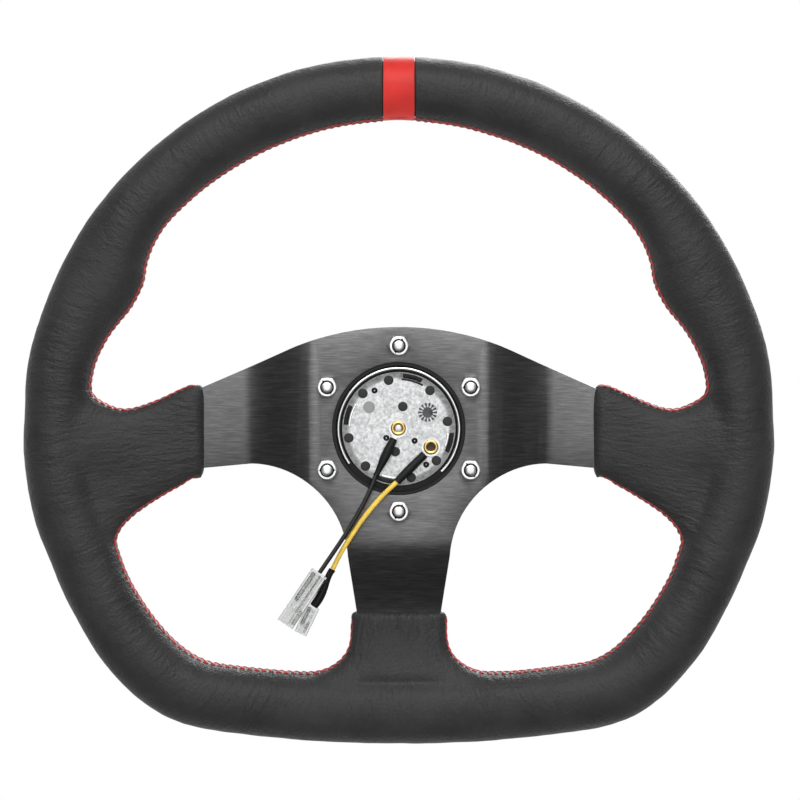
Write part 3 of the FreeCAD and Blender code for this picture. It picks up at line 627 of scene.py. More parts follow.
def lofted(bm: Shape, sections: Sequence[Edges], closed: bool = False) -> None:
    """Bridge sections in order, and fill the two ends unless it is closed."""
    pairs = list(zip(sections, sections[1:]))
    if closed:
        pairs.append((sections[-1], sections[0]))
    for first, second in pairs:
        bmesh.ops.bridge_loops(bm, edges=first + second)
    if not closed:
        bmesh.ops.edgeloop_fill(bm, edges=sections[0])
        bmesh.ops.edgeloop_fill(bm, edges=sections[-1])


# ---- rim shape ----


@dataclass(frozen=True)
class EasedLine:
    """A smooth line through stations that never swings past them."""

    places: tuple[float, ...]
    values: tuple[float, ...]

    def slope(self, row: int) -> float:
        """The line's slope at a station."""
        if row in (0, len(self.places) - 1):
            return 0.0
        steps = [
            (self.values[at + 1] - self.values[at]) / (self.places[at + 1] - self.places[at])
            for at in (row - 1, row)
        ]
        return 2 * steps[0] * steps[1] / sum(steps) if steps[0] * steps[1] > 0 else 0.0

    def at(self, place: float) -> float:
        """The line's value.

        Args:
            place: A place between the first and last station.

        Returns:
            The value there.
        """
        row = min(max(bisect.bisect_right(self.places, place) - 1, 0), len(self.places) - 2)
        width = self.places[row + 1] - self.places[row]
        part = (place - self.places[row]) / width
        rise = eased(part)
        turn = part * (1 - part) ** 2 * self.slope(row) + part * part * (part - 1) * self.slope(row + 1)
        return self.values[row] * (1 - rise) + self.values[row + 1] * rise + width * turn


@dataclass
class RimShape:
    """The rim's outline, given down its right half in degrees above the horizontal and millimetres."""

    stations: tuple[Triple, ...] = (
        (-90, 134.8, 105.4),
        (-81, 136.2, 106.4),
        (-73, 139.5, 109.2),
        (-66, 144.1, 113.9),
        (-60, 149.8, 118.7),
        (-55, 155.3, 123.9),
        (-50, 159.2, 129.6),
        (-45, 160.8, 131.8),
        (-38, 161.1, 132.4),
        (-30, 160.0, 132.2),
        (-22, 159.6, 130.6),
        (-14, 160.6, 131.5),
        (-6, 160.8, 132.3),
        (2, 160.2, 132.6),
        (10, 161.1, 133.2),
        (18, 160.6, 130.1),
        (26, 160.2, 124.9),
        (30, 160.1, 125.6),
        (34, 160.1, 129.6),
        (42, 159.9, 132.4),
        (50, 159.6, 132.2),
        (60, 159.5, 132.0),
        (72, 159.4, 131.8),
        (84, 159.1, 131.8),
        (90, 158.9, 132.0),
    )
    plane: float = 18.0 * MM
    half_depth: float = 14.2 * MM

    def __post_init__(self) -> None:
        """Make the two eased lines."""
        angles = tuple(station[0] for station in self.stations)
        self.outer = EasedLine(angles, tuple(station[1] * MM for station in self.stations))
        self.inner = EasedLine(angles, tuple(station[2] * MM for station in self.stations))

    def section_frame(self, angle: float, grow: float = 0.0) -> Matrix:
        """The frame of the rim's section.

        Args:
            angle: Degrees above the horizontal, from -90 at the bottom to 270.
            grow: How much wider the section is all round.

        Returns:
            The frame that a unit circle takes.
        """
        own_side = angle if angle <= 90 else 180 - angle
        turn = math.radians(angle)
        outward = Vector((math.cos(turn), 0.0, math.sin(turn)))
        outer, inner = self.outer.at(own_side), self.inner.at(own_side)
        centre = outward * ((outer + inner) / 2) + DEPTH * self.plane
        return frame_at(centre, outward * ((outer - inner) / 2 + grow), DEPTH * (self.half_depth + grow))

    def middle(self, point: Vector) -> Vector:
        """The point of the rim's centre line nearest to a point."""
        angle = math.degrees(math.atan2(point.z, point.x))
        return self.section_frame(angle if angle >= -90 else angle + 360).translation


# ---- leather ----


@dataclass
class LeatherWrap:
    """The stitched leather over the rim and the spokes' outer ends, as one skin."""

    rim: RimShape
    side_boot: tuple[tuple[float, float, float, float, float], ...] = (
        (83.0, 18.4, -20.6, 2.7, 2.7),
        (83.8, 19.1, -21.5, 3.9, 3.9),
        (85.0, 19.4, -21.7, 5.3, 5.3),
        (86.6, 19.2, -21.4, 5.9, 5.9),
        (90.0, 18.3, -21.0, 5.9, 5.9),
        (91.8, 17.6, -23.6, 6.1, 6.1),
        (96.2, 15.5, -25.9, 6.5, 6.5),
        (102.5, 12.6, -29.6, 7.0, 7.1),
        (108.8, 9.9, -33.6, 7.3, 7.8),
        (114.4, 8.3, -38.0, 7.5, 8.7),
        (118.6, 8.1, -42.0, 7.6, 9.4),
        (120.8, 8.7, -46.4, 7.7, 9.8),
        (124.4, 10.2, -52.0, 7.8, 10.4),
        (127.2, 11.4, -55.0, 7.9, 10.6),
        (129.6, 13.0, -56.0, 8.0, 10.9),
        (131.4, 14.0, -56.0, 8.1, 11.2),
        (136.0, 14.5, -56.0, 8.2, 12.0),
        (142.0, 14.5, -56.0, 8.2, 12.6),
    )
    bottom_boot: tuple[Triple, ...] = (
        (78.1, 20.9, 5.2),
        (81.5, 20.6, 5.4),
        (87.0, 20.4, 5.9),
        (92.5, 21.0, 6.6),
        (96.4, 22.6, 7.2),
        (99.4, 25.2, 7.8),
        (102.4, 29.4, 8.5),
        (104.6, 36.0, 9.2),
        (106.4, 44.0, 9.6),
    )
    valley: Pair = (-20.0, -9.0)
    squareness: float = 3.2
    smoothing: int = 4
    voxel: float = 1.8 * MM
    swell: float = 0.2 * MM
    marker_half: float = 6.65 * MM
    marker_gap: float = 0.35 * MM
    groove_depth: float = 0.3 * MM
    stitch_pitch: float = 3.1 * MM
    lace_half: float = 4.3 * MM
    lace_taper: float = 34.0 * MM
    lace_end: float = 0.58
    paths: list[list[Vector]] = field(default_factory=list)

    def build(self, black: Material, red: Material, thread: Material) -> None:
        """Make the skin, the marker strip and the stitches.

        Args:
            black: The skin's finish.
            red: The marker's finish.
            thread: The stitches' finish.
        """
        bm = self.rough_shape()
        bm = modified_mesh("wrap_blank", bm, "REMESH", mode="VOXEL", voxel_size=self.voxel)
        for _ in range(self.smoothing):
            bmesh.ops.smooth_vert(
                bm, verts=bm.verts, factor=0.5, use_axis_x=True, use_axis_y=True, use_axis_z=True
            )
        self.swell_out(bm)
        self.open_marker_gap(bm)
        bm = modified_mesh("wrap_fine", bm, "SUBSURF", levels=1, render_levels=1)
        self.paths = self.seam_paths(bm)
        self.refine_seams(bm)
        self.shape_skin(bm)
        self.skin = BVHTree.FromBMesh(bm)
        piece = finished_piece("leather_wrap", bm, black)
        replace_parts(piece, "rim_leather_left", "rim_leather_right", "boot_left", "boot_right", "boot_bottom")
        self.build_marker(red)
        self.build_stitches(thread)

    def rough_shape(self) -> Shape:
        """The rim's tube and the three boots as overlapping closed shapes."""
        bm = bmesh.new()
        tube = [section(bm, self.rim.section_frame(angle), 32) for angle in range(-90, 270, 3)]
        lofted(bm, tube, closed=True)
        for side in (1, -1):
            loops = []
            for reach, upper, lower, below, above in self.side_boot:
                centre = Vector((side * reach * MM, self.rim.plane, (upper + lower) / 2 * MM))
                frame = frame_at(centre, Vector((0, 0, (upper - lower) / 2 * MM)), DEPTH * below * MM)
                loops.append(section(bm, frame, 64, self.squareness))
                self.rise_to_rim(loops[-1], above / below)
            lofted(bm, loops)
        frames = [
            frame_at(
                Vector((0, self.rim.plane, -reach * MM)), Vector((half * MM, 0, 0)), DEPTH * half_depth * MM
            )
            for reach, half, half_depth in self.bottom_boot
        ]
        lofted(bm, [section(bm, frame, 64, self.squareness) for frame in frames])
        bmesh.ops.recalc_face_normals(bm, faces=bm.faces)
        return bm

    def rise_to_rim(self, edges: Edges, gain: float) -> None:
        """Thicken the upper part of a boot section, so that it runs flush into the rim.

        Args:
            edges: The section's edges.
            gain: How many times thicker it gets.
        """
        for vert in {vert for edge in edges for vert in edge.verts}:
            rise = eased(share(vert.co.z / MM, self.valley))
            vert.co.y = self.rim.plane + (vert.co.y - self.rim.plane) * (1 + (gain - 1) * rise)

    def swell_out(self, bm: Shape) -> None:
        """Push the skin back out by what smoothing took."""
        bm.normal_update()
        for vert in bm.verts:
            vert.co += vert.normal * self.swell

    def open_marker_gap(self, bm: Shape) -> None:
        """Cut the skin where the marker strip goes, and turn its two edges in."""
        half = self.marker_half + self.marker_gap
        for side in (1, -1):
            near = [vert for vert in bm.verts if vert.co.z > 0.1 and abs(vert.co.x) < 4 * half]
            faces = list({face for vert in near for face in vert.link_faces})
            edges = list({edge for face in faces for edge in face.edges})
            verts = list({vert for face in faces for vert in face.verts})
            bmesh.ops.bisect_plane(
                bm, geom=verts + edges + faces, dist=1e-5, plane_co=(side * half, 0, 0), plane_no=(1, 0, 0)
            )
        centres = [(face, face.calc_center_median()) for face in bm.faces]
        inside = [face for face, centre in centres if centre.z > 0.1 and abs(centre.x) < half]
        bmesh.ops.delete(bm, geom=inside, context="FACES")
        self.turn_edges_in(bm, (0.45 * MM, 1.6 * MM))

    def turn_edges_in(self, bm: Shape, depths: Sequence[float]) -> None:
        """Extrude every open edge towards the rim's centre line.

        Args:
            bm: The skin.
            depths: Depth of each new loop below the surface.
        """
        last = 0.0
        for depth in depths:
            border = [edge for edge in bm.edges if edge.is_boundary]
            fresh = bmesh.ops.extrude_edge_only(bm, edges=border)["geom"]
            for vert in (item for item in fresh if isinstance(item, bmesh.types.BMVert)):
                vert.co += (self.rim.middle(vert.co) - vert.co).normalized() * (depth - last)
            last = depth

    def seam_paths(self, bm: Shape) -> list[list[Vector]]:
        """The three seams, along the skin's inner line between the boots' ends.

        Args:
            bm: The skin.

        Returns:
            Evenly spaced points for each seam.
        """
        sliced = bm.copy()
        plane = (0, self.rim.plane, 0)
        cut = bmesh.ops.bisect_plane(sliced, geom=everything(sliced), dist=1e-6, plane_co=plane, plane_no=DEPTH)
        edges = [item for item in cut["geom_cut"] if isinstance(item, bmesh.types.BMEdge)]
        neighbours: dict[bmesh.types.BMVert, list[bmesh.types.BMVert]] = {}
        for edge in edges:
            for vert in edge.verts:
                neighbours.setdefault(vert, []).append(edge.other_vert(vert))
        paths = []
        waiting = {vert for vert in neighbours if self.on_seam(vert.co)}
        while waiting:
            start = waiting.pop()
            run = [start]
            for _ in range(2):
                here = run[-1]
                while True:
                    ahead = [vert for vert in neighbours[here] if vert in waiting]
                    if not ahead:
                        break
                    here = ahead[0]
                    waiting.discard(here)
                    run.append(here)
                run.reverse()
            points = [vert.co.copy() for vert in run]
            if sum((b - a).length for a, b in zip(points, points[1:])) > 0.05:
                paths.append(points)
        sliced.free()
        paths = self.joined_over_marker(paths)
        log.info("seams: %s mm", [round(sum((b - a).length for a, b in zip(p, p[1:])) / MM) for p in paths])
        return [self.evened(points, 0.8 * MM) for points in paths]

    def on_seam(self, point: Vector) -> bool:
        """Whether a point of the middle plane lies on the inner line and off the boots' ends."""
        side_end = abs(point.x) < 84.6 * MM and abs(point.z) < 24 * MM
        foot_end = point.z > -79.8 * MM and abs(point.x) < 22 * MM and point.z < 0
        under_marker = abs(point.x) < self.marker_half + self.marker_gap + 0.1 * MM and point.z > 0
        reach = math.hypot(point.x, point.z)
        middle = self.rim.middle(point)
        return reach < math.hypot(middle.x, middle.z) and not (side_end or foot_end or under_marker)

    def joined_over_marker(self, paths: list[list[Vector]]) -> list[list[Vector]]:
        """Join the two upper runs that end at the marker strip into one."""
        upper = [points for points in paths if max(point.z for point in points) > 0.12]
        others = [points for points in paths if max(point.z for point in points) <= 0.12]
        if len(upper) == 2:
            left, right = sorted(upper, key=lambda points: sum(point.x for point in points))
            left = left if abs(left[-1].x) < abs(left[0].x) else left[::-1]
            right = right if abs(right[0].x) < abs(right[-1].x) else right[::-1]
            upper = [left + right]
        return upper + others

    @staticmethod
    def evened(points: Sequence[Vector], step: float) -> list[Vector]:
        """Points an even step apart along a run, each averaged with its neighbours.

        Args:
            points: The run.
            step: The spacing wanted.

        Returns:
            The even points.
        """
        places = [0.0]
        for before, after in zip(points, points[1:]):
            places.append(places[-1] + (after - before).length)
        count = max(int(places[-1] / step), 2)
        even = []
        for index in range(count + 1):
            place = places[-1] * index / count
            row = min(max(bisect.bisect_right(places, place) - 1, 0), len(points) - 2)
            width = max(places[row + 1] - places[row], 1e-9)
            even.append(points[row].lerp(points[row + 1], (place - places[row]) / width))
        for _ in range(3):
            inner = [(a + b * 2 + c) / 4 for a, b, c in zip(even, even[1:], even[2:])]
            even = [even[0], *inner, even[-1]]
        return even

    def refine_seams(self, bm: Shape) -> None:
        """Cut the skin's faces near the seams in four, so that they can hold a groove."""
        tree = self.seam_tree()
        near = {vert for vert in bm.verts if tree.find(vert.co)[2] < 5.2 * MM}
        edges = [edge for edge in bm.edges if edge.verts[0] in near and edge.verts[1] in near]
        bmesh.ops.subdivide_edges(bm, edges=edges, cuts=1, use_grid_fill=True, smooth=0.0)

    def seam_tree(self) -> KDTree:
        """A search tree over the points of all seams, numbered along each."""
        points = [point for path in self.paths for point in path]
        tree = KDTree(len(points))
        for index, point in enumerate(points):
            tree.insert(point, index)
        tree.balance()
        return tree

    def shape_skin(self, bm: Shape) -> None:
        """Sink the seam grooves, pull the skin in at each stitch, and make it slightly uneven."""
        bm.normal_update()
        tree = self.seam_tree()
        places = [index * 0.8 * MM for path in self.paths for index in range(len(path))]
        moves = []
        for vert in bm.verts:
            _, index, distance = tree.find(vert.co)
            lump = noise.noise(vert.co / (16 * MM)) * 0.22 + noise.noise(vert.co / (5 * MM)) * 0.07
            move = lump * MM
            if distance < 6.5 * MM:
                off = abs(vert.co.y - self.rim.plane) / MM
                fade = max(1 - (distance / (6.5 * MM)) ** 2, 0.0)
                move -= self.groove_depth * math.exp(-((off / 0.6) ** 2)) * fade
                swing = math.cos(2 * math.pi * places[index] / self.stitch_pitch)
                move += 0.12 * MM * swing * math.exp(-(((off - 2.0) / 2.2) ** 2)) * fade
                move += 0.1 * MM * math.exp(-(((off - 5.0) / 1.0) ** 2)) * fade
            moves.append(vert.normal * move)
        for vert, move in zip(bm.verts, moves):
            vert.co += move
        bm.normal_update()

    def build_marker(self, red: Material) -> None:
        """Make the red strip round the rim at the top centre."""
        bm = bmesh.new()
        frames = [self.rim.section_frame(90 + turn * 0.75, 0.12 * MM) for turn in range(-6, 7)]
        rings = [section(bm, frame, 72) for frame in frames]
        for first, second in zip(rings, rings[1:]):
            bmesh.ops.bridge_loops(bm, edges=first + second)
        bmesh.ops.recalc_face_normals(bm, faces=bm.faces)
        centres = [(face.calc_center_median(), face.normal) for face in bm.faces]
        if sum(normal.dot(centre - self.rim.middle(centre)) for centre, normal in centres) < 0:
            bmesh.ops.reverse_faces(bm, faces=bm.faces)
        for side in (1, -1):
            bmesh.ops.bisect_plane(
                bm,
                geom=everything(bm),
                plane_co=(side * self.marker_half, 0, 0),
                plane_no=(side, 0, 0),
                clear_outer=True,
            )
        self.turn_edges_in(bm, (0.25 * MM, 1.5 * MM))
        bm = modified_mesh("marker_fine", bm, "SUBSURF", levels=1, render_levels=1)
        bm.normal_update()
        for vert in bm.verts:
            vert.co += vert.normal * noise.noise(vert.co / (6 * MM)) * 0.08 * MM
        piece = finished_piece("marker_strip", bm, red)
        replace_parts(piece, "centre_marker")

    def build_stitches(self, thread: Material) -> None:
        """Lace every seam with dashes either side and slanted crossings."""
        sample = self.stitch_sample()
        ordered = sorted(self.paths, key=lambda path: (path[len(path) // 2].z < 0, sum(p.x for p in path)))
        for where, path in zip(("top", "left", "right"), ordered):
            bm = bmesh.new()
            centres = self.evened(path, self.stitch_pitch)
            for row, centre in enumerate(centres[1:-1], start=1):
                nearer_end = min(row, len(centres) - 1 - row) * self.stitch_pitch
                part = min(nearer_end / self.lace_taper, 1.0)
                spread = self.lace_end + (1 - self.lace_end) * eased(part)
                self.lay_stitch(bm, sample, path, centre, spread)
            piece = finished_piece(f"stitches_{where}", bm, thread)
            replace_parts(piece, f"seam_{where}")
        bpy.data.meshes.remove(sample)

    def stitch_sample(self) -> bpy.types.Mesh:
        """One flat stitch in millimetres: a dash on each side of the seam and a long slanted crossing."""
        bm = bmesh.new()
        dash, wide, lean = 1.1, self.lace_half / MM, 1.9
        for side in (-wide, wide):
            arch = ((-1.0, -0.1), (-0.6, 0.14), (0.6, 0.14), (1.0, -0.1))
            self.strand(bm, [(dash * part, side, height) for part, height in arch])
        reach = wide - 0.35
        rise = ((-1.0, -0.1), (-0.8, 0.1), (-0.3, 0.12), (0.3, 0.12), (0.8, 0.1), (1.0, -0.1))
        self.strand(bm, [(1.55 + lean * part, reach * part, height) for part, height in rise])
        mesh = bpy.data.meshes.new("stitch_sample")
        bm.to_mesh(mesh)
        bm.free()
        return mesh

    @staticmethod
    def strand(bm: Shape, points: Sequence[Colour], radius: float = 0.27) -> None:
        """Add a short round thread through some points.

        Args:
            bm: Where it goes.
            points: Its centre line.
            radius: Its radius.
        """
        line = [Vector(point) for point in points]
        rings = []
        for index, point in enumerate(line):
            ahead = line[min(index + 1, len(line) - 1)] - line[max(index - 1, 0)]
            side = ahead.cross(Vector((0, 0, 1))).normalized()
            up = side.cross(ahead).normalized()
            end = index in (0, len(line) - 1)
            rings.append(section(bm, frame_at(point, side * radius * (0.7 if end else 1), up * radius), 5))
        lofted(bm, rings)

    def lay_stitch(
        self, bm: Shape, sample: bpy.types.Mesh, path: list[Vector], centre: Vector, spread: float
    ) -> None:
        """Bend a copy of the sample stitch onto the skin.

        Args:
            bm: Where it goes.
            sample: The flat stitch.
            path: The seam it is on.
            centre: The stitch's middle.
            spread: Its width as a share of the full width.
        """
        index = min(range(1, len(path) - 1), key=lambda row: (path[row] - centre).length_squared)
        along = (path[index + 1] - path[index - 1]).normalized()
        first = len(bm.verts)
        bm.from_mesh(sample)
        bm.verts.ensure_lookup_table()
        for vert in bm.verts[first:]:
            forward, aside, height = vert.co * MM
            spot, normal, _, _ = self.skin.find_nearest(centre + along * forward + DEPTH * aside * spread)
            vert.co = spot + normal * height


# ---- carried-over parts ----


@dataclass
class CarriedParts:
    """Parts whose own shape is right and that only take a finish."""

    finishes: dict[str, Material]

    def dress(self, nodes: dict[str, bpy.types.Object]) -> None:
        """Put each node's finish in its material slots.

        Args:
            nodes: The frame's nodes.
        """
        for name, material in self.finishes.items():
            for slot in nodes[name].material_slots:
                slot.material = material
            log.info("%s: %s", name, material.name)


@dataclass
class SpokePlate:
    """The three-spoke plate, with widely rounded bends and softened edges."""

    thickness: float = 4.0 * MM
    dish: float = 16.0 * MM
    edge: float = 0.45 * MM
    frame_side_bend: Pair = (38.5 * MM, 63.0 * MM)
    frame_foot_bend: Pair = (48.0 * MM, 78.0 * MM)
    side_bend: Pair = (35.6 * MM, 66.5 * MM)
    foot_bend: Pair = (46.5 * MM, 82.5 * MM)
    strip: float = 1.5 * MM

    def build(self, source: bpy.types.Object, finish: Material) -> None:
        """Make the plate from a flattened copy of its frame shape, then bend it again.

        Args:
            source: The frame's plate.
            finish: Its finish.
        """
        bm = bmesh.new()
        bm.from_mesh(source.data)
        bmesh.ops.remove_doubles(bm, verts=bm.verts, dist=1e-6)
        for vert in bm.verts:
            side, foot = abs(vert.co.x), -vert.co.z
            lift = max(share(side, self.frame_side_bend), share(foot, self.frame_foot_bend))
            middle = self.thickness / 2 + self.dish * lift
            vert.co.y = 0.0 if vert.co.y < middle else self.thickness
        bmesh.ops.dissolve_limit(bm, angle_limit=math.radians(1), verts=bm.verts, edges=bm.edges)
        joined = [edge for edge in bm.edges if len(edge.link_faces) == 2]
        bmesh.ops.bevel(
            bm,
            geom=[edge for edge in joined if edge.calc_face_angle() > math.radians(35)],
            offset=self.edge,
            affect="EDGES",
            segments=2,
            profile=0.5,
            material=-1,
            clamp_overlap=True,
        )
        for sign in (1, -1):
            self.slice_along(bm, Vector((sign, 0, 0)), self.side_bend)
        self.slice_along(bm, Vector((0, 0, -1)), self.foot_bend)
        for vert in bm.verts:
            lift = max(share(abs(vert.co.x), self.side_bend), share(-vert.co.z, self.foot_bend))
            vert.co.y += self.dish * eased(lift)
        bmesh.ops.triangulate(bm, faces=[face for face in bm.faces if len(face.verts) > 4])
        piece = finished_piece("brushed_plate", bm, finish)
        piece.data.set_sharp_from_angle(angle=math.radians(30))
        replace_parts(piece, "spoke_plate")

    def slice_along(self, bm: Shape, direction: Vector, bend: Pair) -> None:
        """Cut the plate into narrow strips across one bend.

        Args:
            bm: The flat plate.
            direction: The way that its spoke points.
            bend: Where the bend starts and ends along it.
        """
        count = math.ceil((bend[1] - bend[0]) / self.strip)
        for step in range(count + 1):
            place = bend[0] + (bend[1] - bend[0]) * step / count
            bmesh.ops.bisect_plane(
                bm, geom=everything(bm), dist=1e-6, plane_co=direction * place, plane_no=direction
            )


@dataclass
class HubFasteners:
    """Six chamfered nuts and six button-head screws with domed ends."""

    circle: float = 35.0
    nut_flats: float = 8.0
    nut_height: float = 4.0
    chamfer_radius: float = 3.72
    screw_radius: float = 2.5
    stub_end: float = -6.6
    head_radius: float = 4.75
    head_base: float = 4.0
    head_height: float = 2.75
    socket_flats: float = 3.0
    sides: int = 48

    def build(self, zinc: Material) -> None:
        """Make the nuts and the screws.

        Args:
            zinc: Their finish.
        """
        for name, node, rings in (
            ("chamfered_nuts", "hub_nuts", self.nut_rings()),
            ("button_screws", "hub_screws", self.screw_rings()),
        ):
            bm = bmesh.new()
            loops = [self.ring(bm, radius, depth, flats) for radius, depth, flats in rings]
            closed = name == "chamfered_nuts"
            lofted(bm, loops, closed=closed)
            bmesh.ops.recalc_face_normals(bm, faces=bm.faces)
            bmesh.ops.translate(bm, verts=bm.verts, vec=Vector((0, 0, self.circle)))
            bmesh.ops.scale(bm, verts=bm.verts, vec=(MM, MM, MM))
            bmesh.ops.spin(
                bm,
                geom=list(bm.verts) + list(bm.edges) + list(bm.faces),
                cent=(0, 0, 0),
                axis=DEPTH,
                angle=math.radians(300),
                steps=5,
                use_duplicate=True,
            )
            piece = finished_piece(name, bm, zinc)
            piece.data.set_sharp_from_angle(angle=math.radians(22))
            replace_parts(piece, node)

    def ring(
        self, bm: Shape, radius: float, depth: float, flats: float
    ) -> Edges:
        """Add a ring about the depth axis: round, or hexagonal where that lies inside the round.

        Args:
            bm: Where it goes.
            radius: The round's radius.
            depth: Its place along the axis.
            flats: The hexagon's width across flats, or 0 for none.

        Returns:
            Its edges.
        """
        edges = section(bm, facing_ring(Vector(), radius, depth), self.sides)
        if flats:
            for vert in {vert for edge in edges for vert in edge.verts}:
                turn = math.atan2(vert.co.z, vert.co.x) % math.radians(60) - math.radians(30)
                reach = min(radius, flats / 2 / math.cos(turn))
                flat = Vector((vert.co.x, 0, vert.co.z)).normalized() * reach
                vert.co = flat + DEPTH * depth
        return edges

    def nut_rings(self) -> list[Triple]:
        """The nut's rings, from its bore round its rear face and sides to its bore again."""
        wide, rear = self.nut_flats, -self.nut_height
        corner = wide / 2 / math.cos(math.radians(30))
        drop = (corner - self.chamfer_radius) * math.tan(math.radians(30))
        chamfer = self.chamfer_radius
        outline = [(chamfer + (corner - chamfer) * part, part) for part in (0.4, 0.7, 1.0)]
        rear_side = [(radius, rear + drop * part, wide) for radius, part in outline]
        front_side = [(radius, -drop * part - 0.05, wide) for radius, part in reversed(outline)]
        return [
            (2.45, -0.05, 0.0),
            (2.45, rear + 0.45, 0.0),
            (2.8, rear + 0.06, 0.0),
            (2.95, rear, 0.0),
            (self.chamfer_radius, rear, 0.0),
            *rear_side,
            *front_side,
            (self.chamfer_radius, -0.02, 0.0),
            (2.8, -0.02, 0.0),
        ]

    def screw_rings(self) -> list[Triple]:
        """The screw's rings, from its domed end through its threads and head to its hexagon socket."""
        full, end, pitch = self.screw_radius, self.stub_end, 0.8
        dome = ((0.5, 0.0), (1.2, 0.05), (1.7, 0.15), (2.05, 0.34), (2.25, 0.7))
        rings = [(radius, end + rise, 0.0) for radius, rise in dome]
        for turn in range(3):
            crest = end + 0.95 + turn * pitch
            thread = ((0.12, -0.12), (0.12, 0.12), (0.42, 0.4))
            rings += [(full - inset, crest + rise, 0.0) for inset, rise in thread]
        top = self.head_base + self.head_height
        socket = self.socket_flats / 2 / math.cos(math.radians(30))
        base, head = self.head_base, self.head_radius
        rings += [(2.22, -3.4, 0.0), (2.22, base - 0.02, 0.0), (head - 0.3, base, 0.0)]
        crown = ((0.0, 0.12), (-0.02, 0.3), (-0.25, 0.5), (-0.75, 0.72), (-1.5, 0.9), (-2.35, 1.0))
        rings += [(head + inset, base + self.head_height * rise, 0.0) for inset, rise in crown]
        rings += [
            (socket + 0.2, top, 0.0),
            (socket, top - 0.15, self.socket_flats),
            (socket, top - 1.5, self.socket_flats),
            (0.6, top - 1.9, 0.0),
        ]
        return rings


@dataclass
class Eyelets:
    """Two rolled brass eyelets that hold the lead terminals on the horn base plate."""

    centre: Pair = (-0.2, 0.2)
    side: Pair = (13.6, -7.8)
    bore: float = 1.7
    roll: float = 2.45
    tongue_drop: float = 0.55
    flange: float = 3.2
    barrel: float = 2.28

    def build(self, brass: Material, bright: Material) -> None:
        """Make both eyelets, and the bright tongue that shows in the centre one.

        Args:
            brass: The eyelets' finish.
            bright: The tongue's finish.
        """
        for name, node, spot in (
            ("rolled_centre_eyelet", "centre_eyelet", self.centre),
            ("rolled_side_eyelet", "side_eyelet", self.side),
        ):
            low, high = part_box(node)
            rear, front = low[1] / MM, high[1] / MM
            bm = bmesh.new()
            rings = [
                (self.bore, front),
                (self.bore, rear + 0.5),
                (self.bore + 0.12, rear + 0.2),
                (self.roll - 0.2, rear + 0.02),
                (self.roll, rear),
                (self.roll + 0.25, rear + 0.05),
                (self.flange - 0.1, rear + 0.22),
                (self.flange, rear + 0.36),
                (self.flange - 0.05, rear + 0.4),
                (self.barrel, rear + 0.46),
                (self.barrel, front),
            ]
            turned_rings(bm, Vector((spot[0], 0, spot[1])), rings, 40, closed=True)
            in_metres(bm)
            piece = finished_piece(name, bm, brass)
            piece.data.set_sharp_from_angle(angle=math.radians(40))
            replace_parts(piece, node)
        low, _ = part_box("centre_eyelet")
        rear = low[1] / MM + self.tongue_drop
        bm = bmesh.new()
        side = self.bore - 0.08
        rings = ((1.2, rear), (1.45, rear + 0.08), (side, rear + 0.3), (side, rear + 0.8))
        turned_rings(bm, Vector((self.centre[0], 0, self.centre[1])), rings, 32)
        in_metres(bm)
        finished_piece("eyelet_tongue", bm, bright)


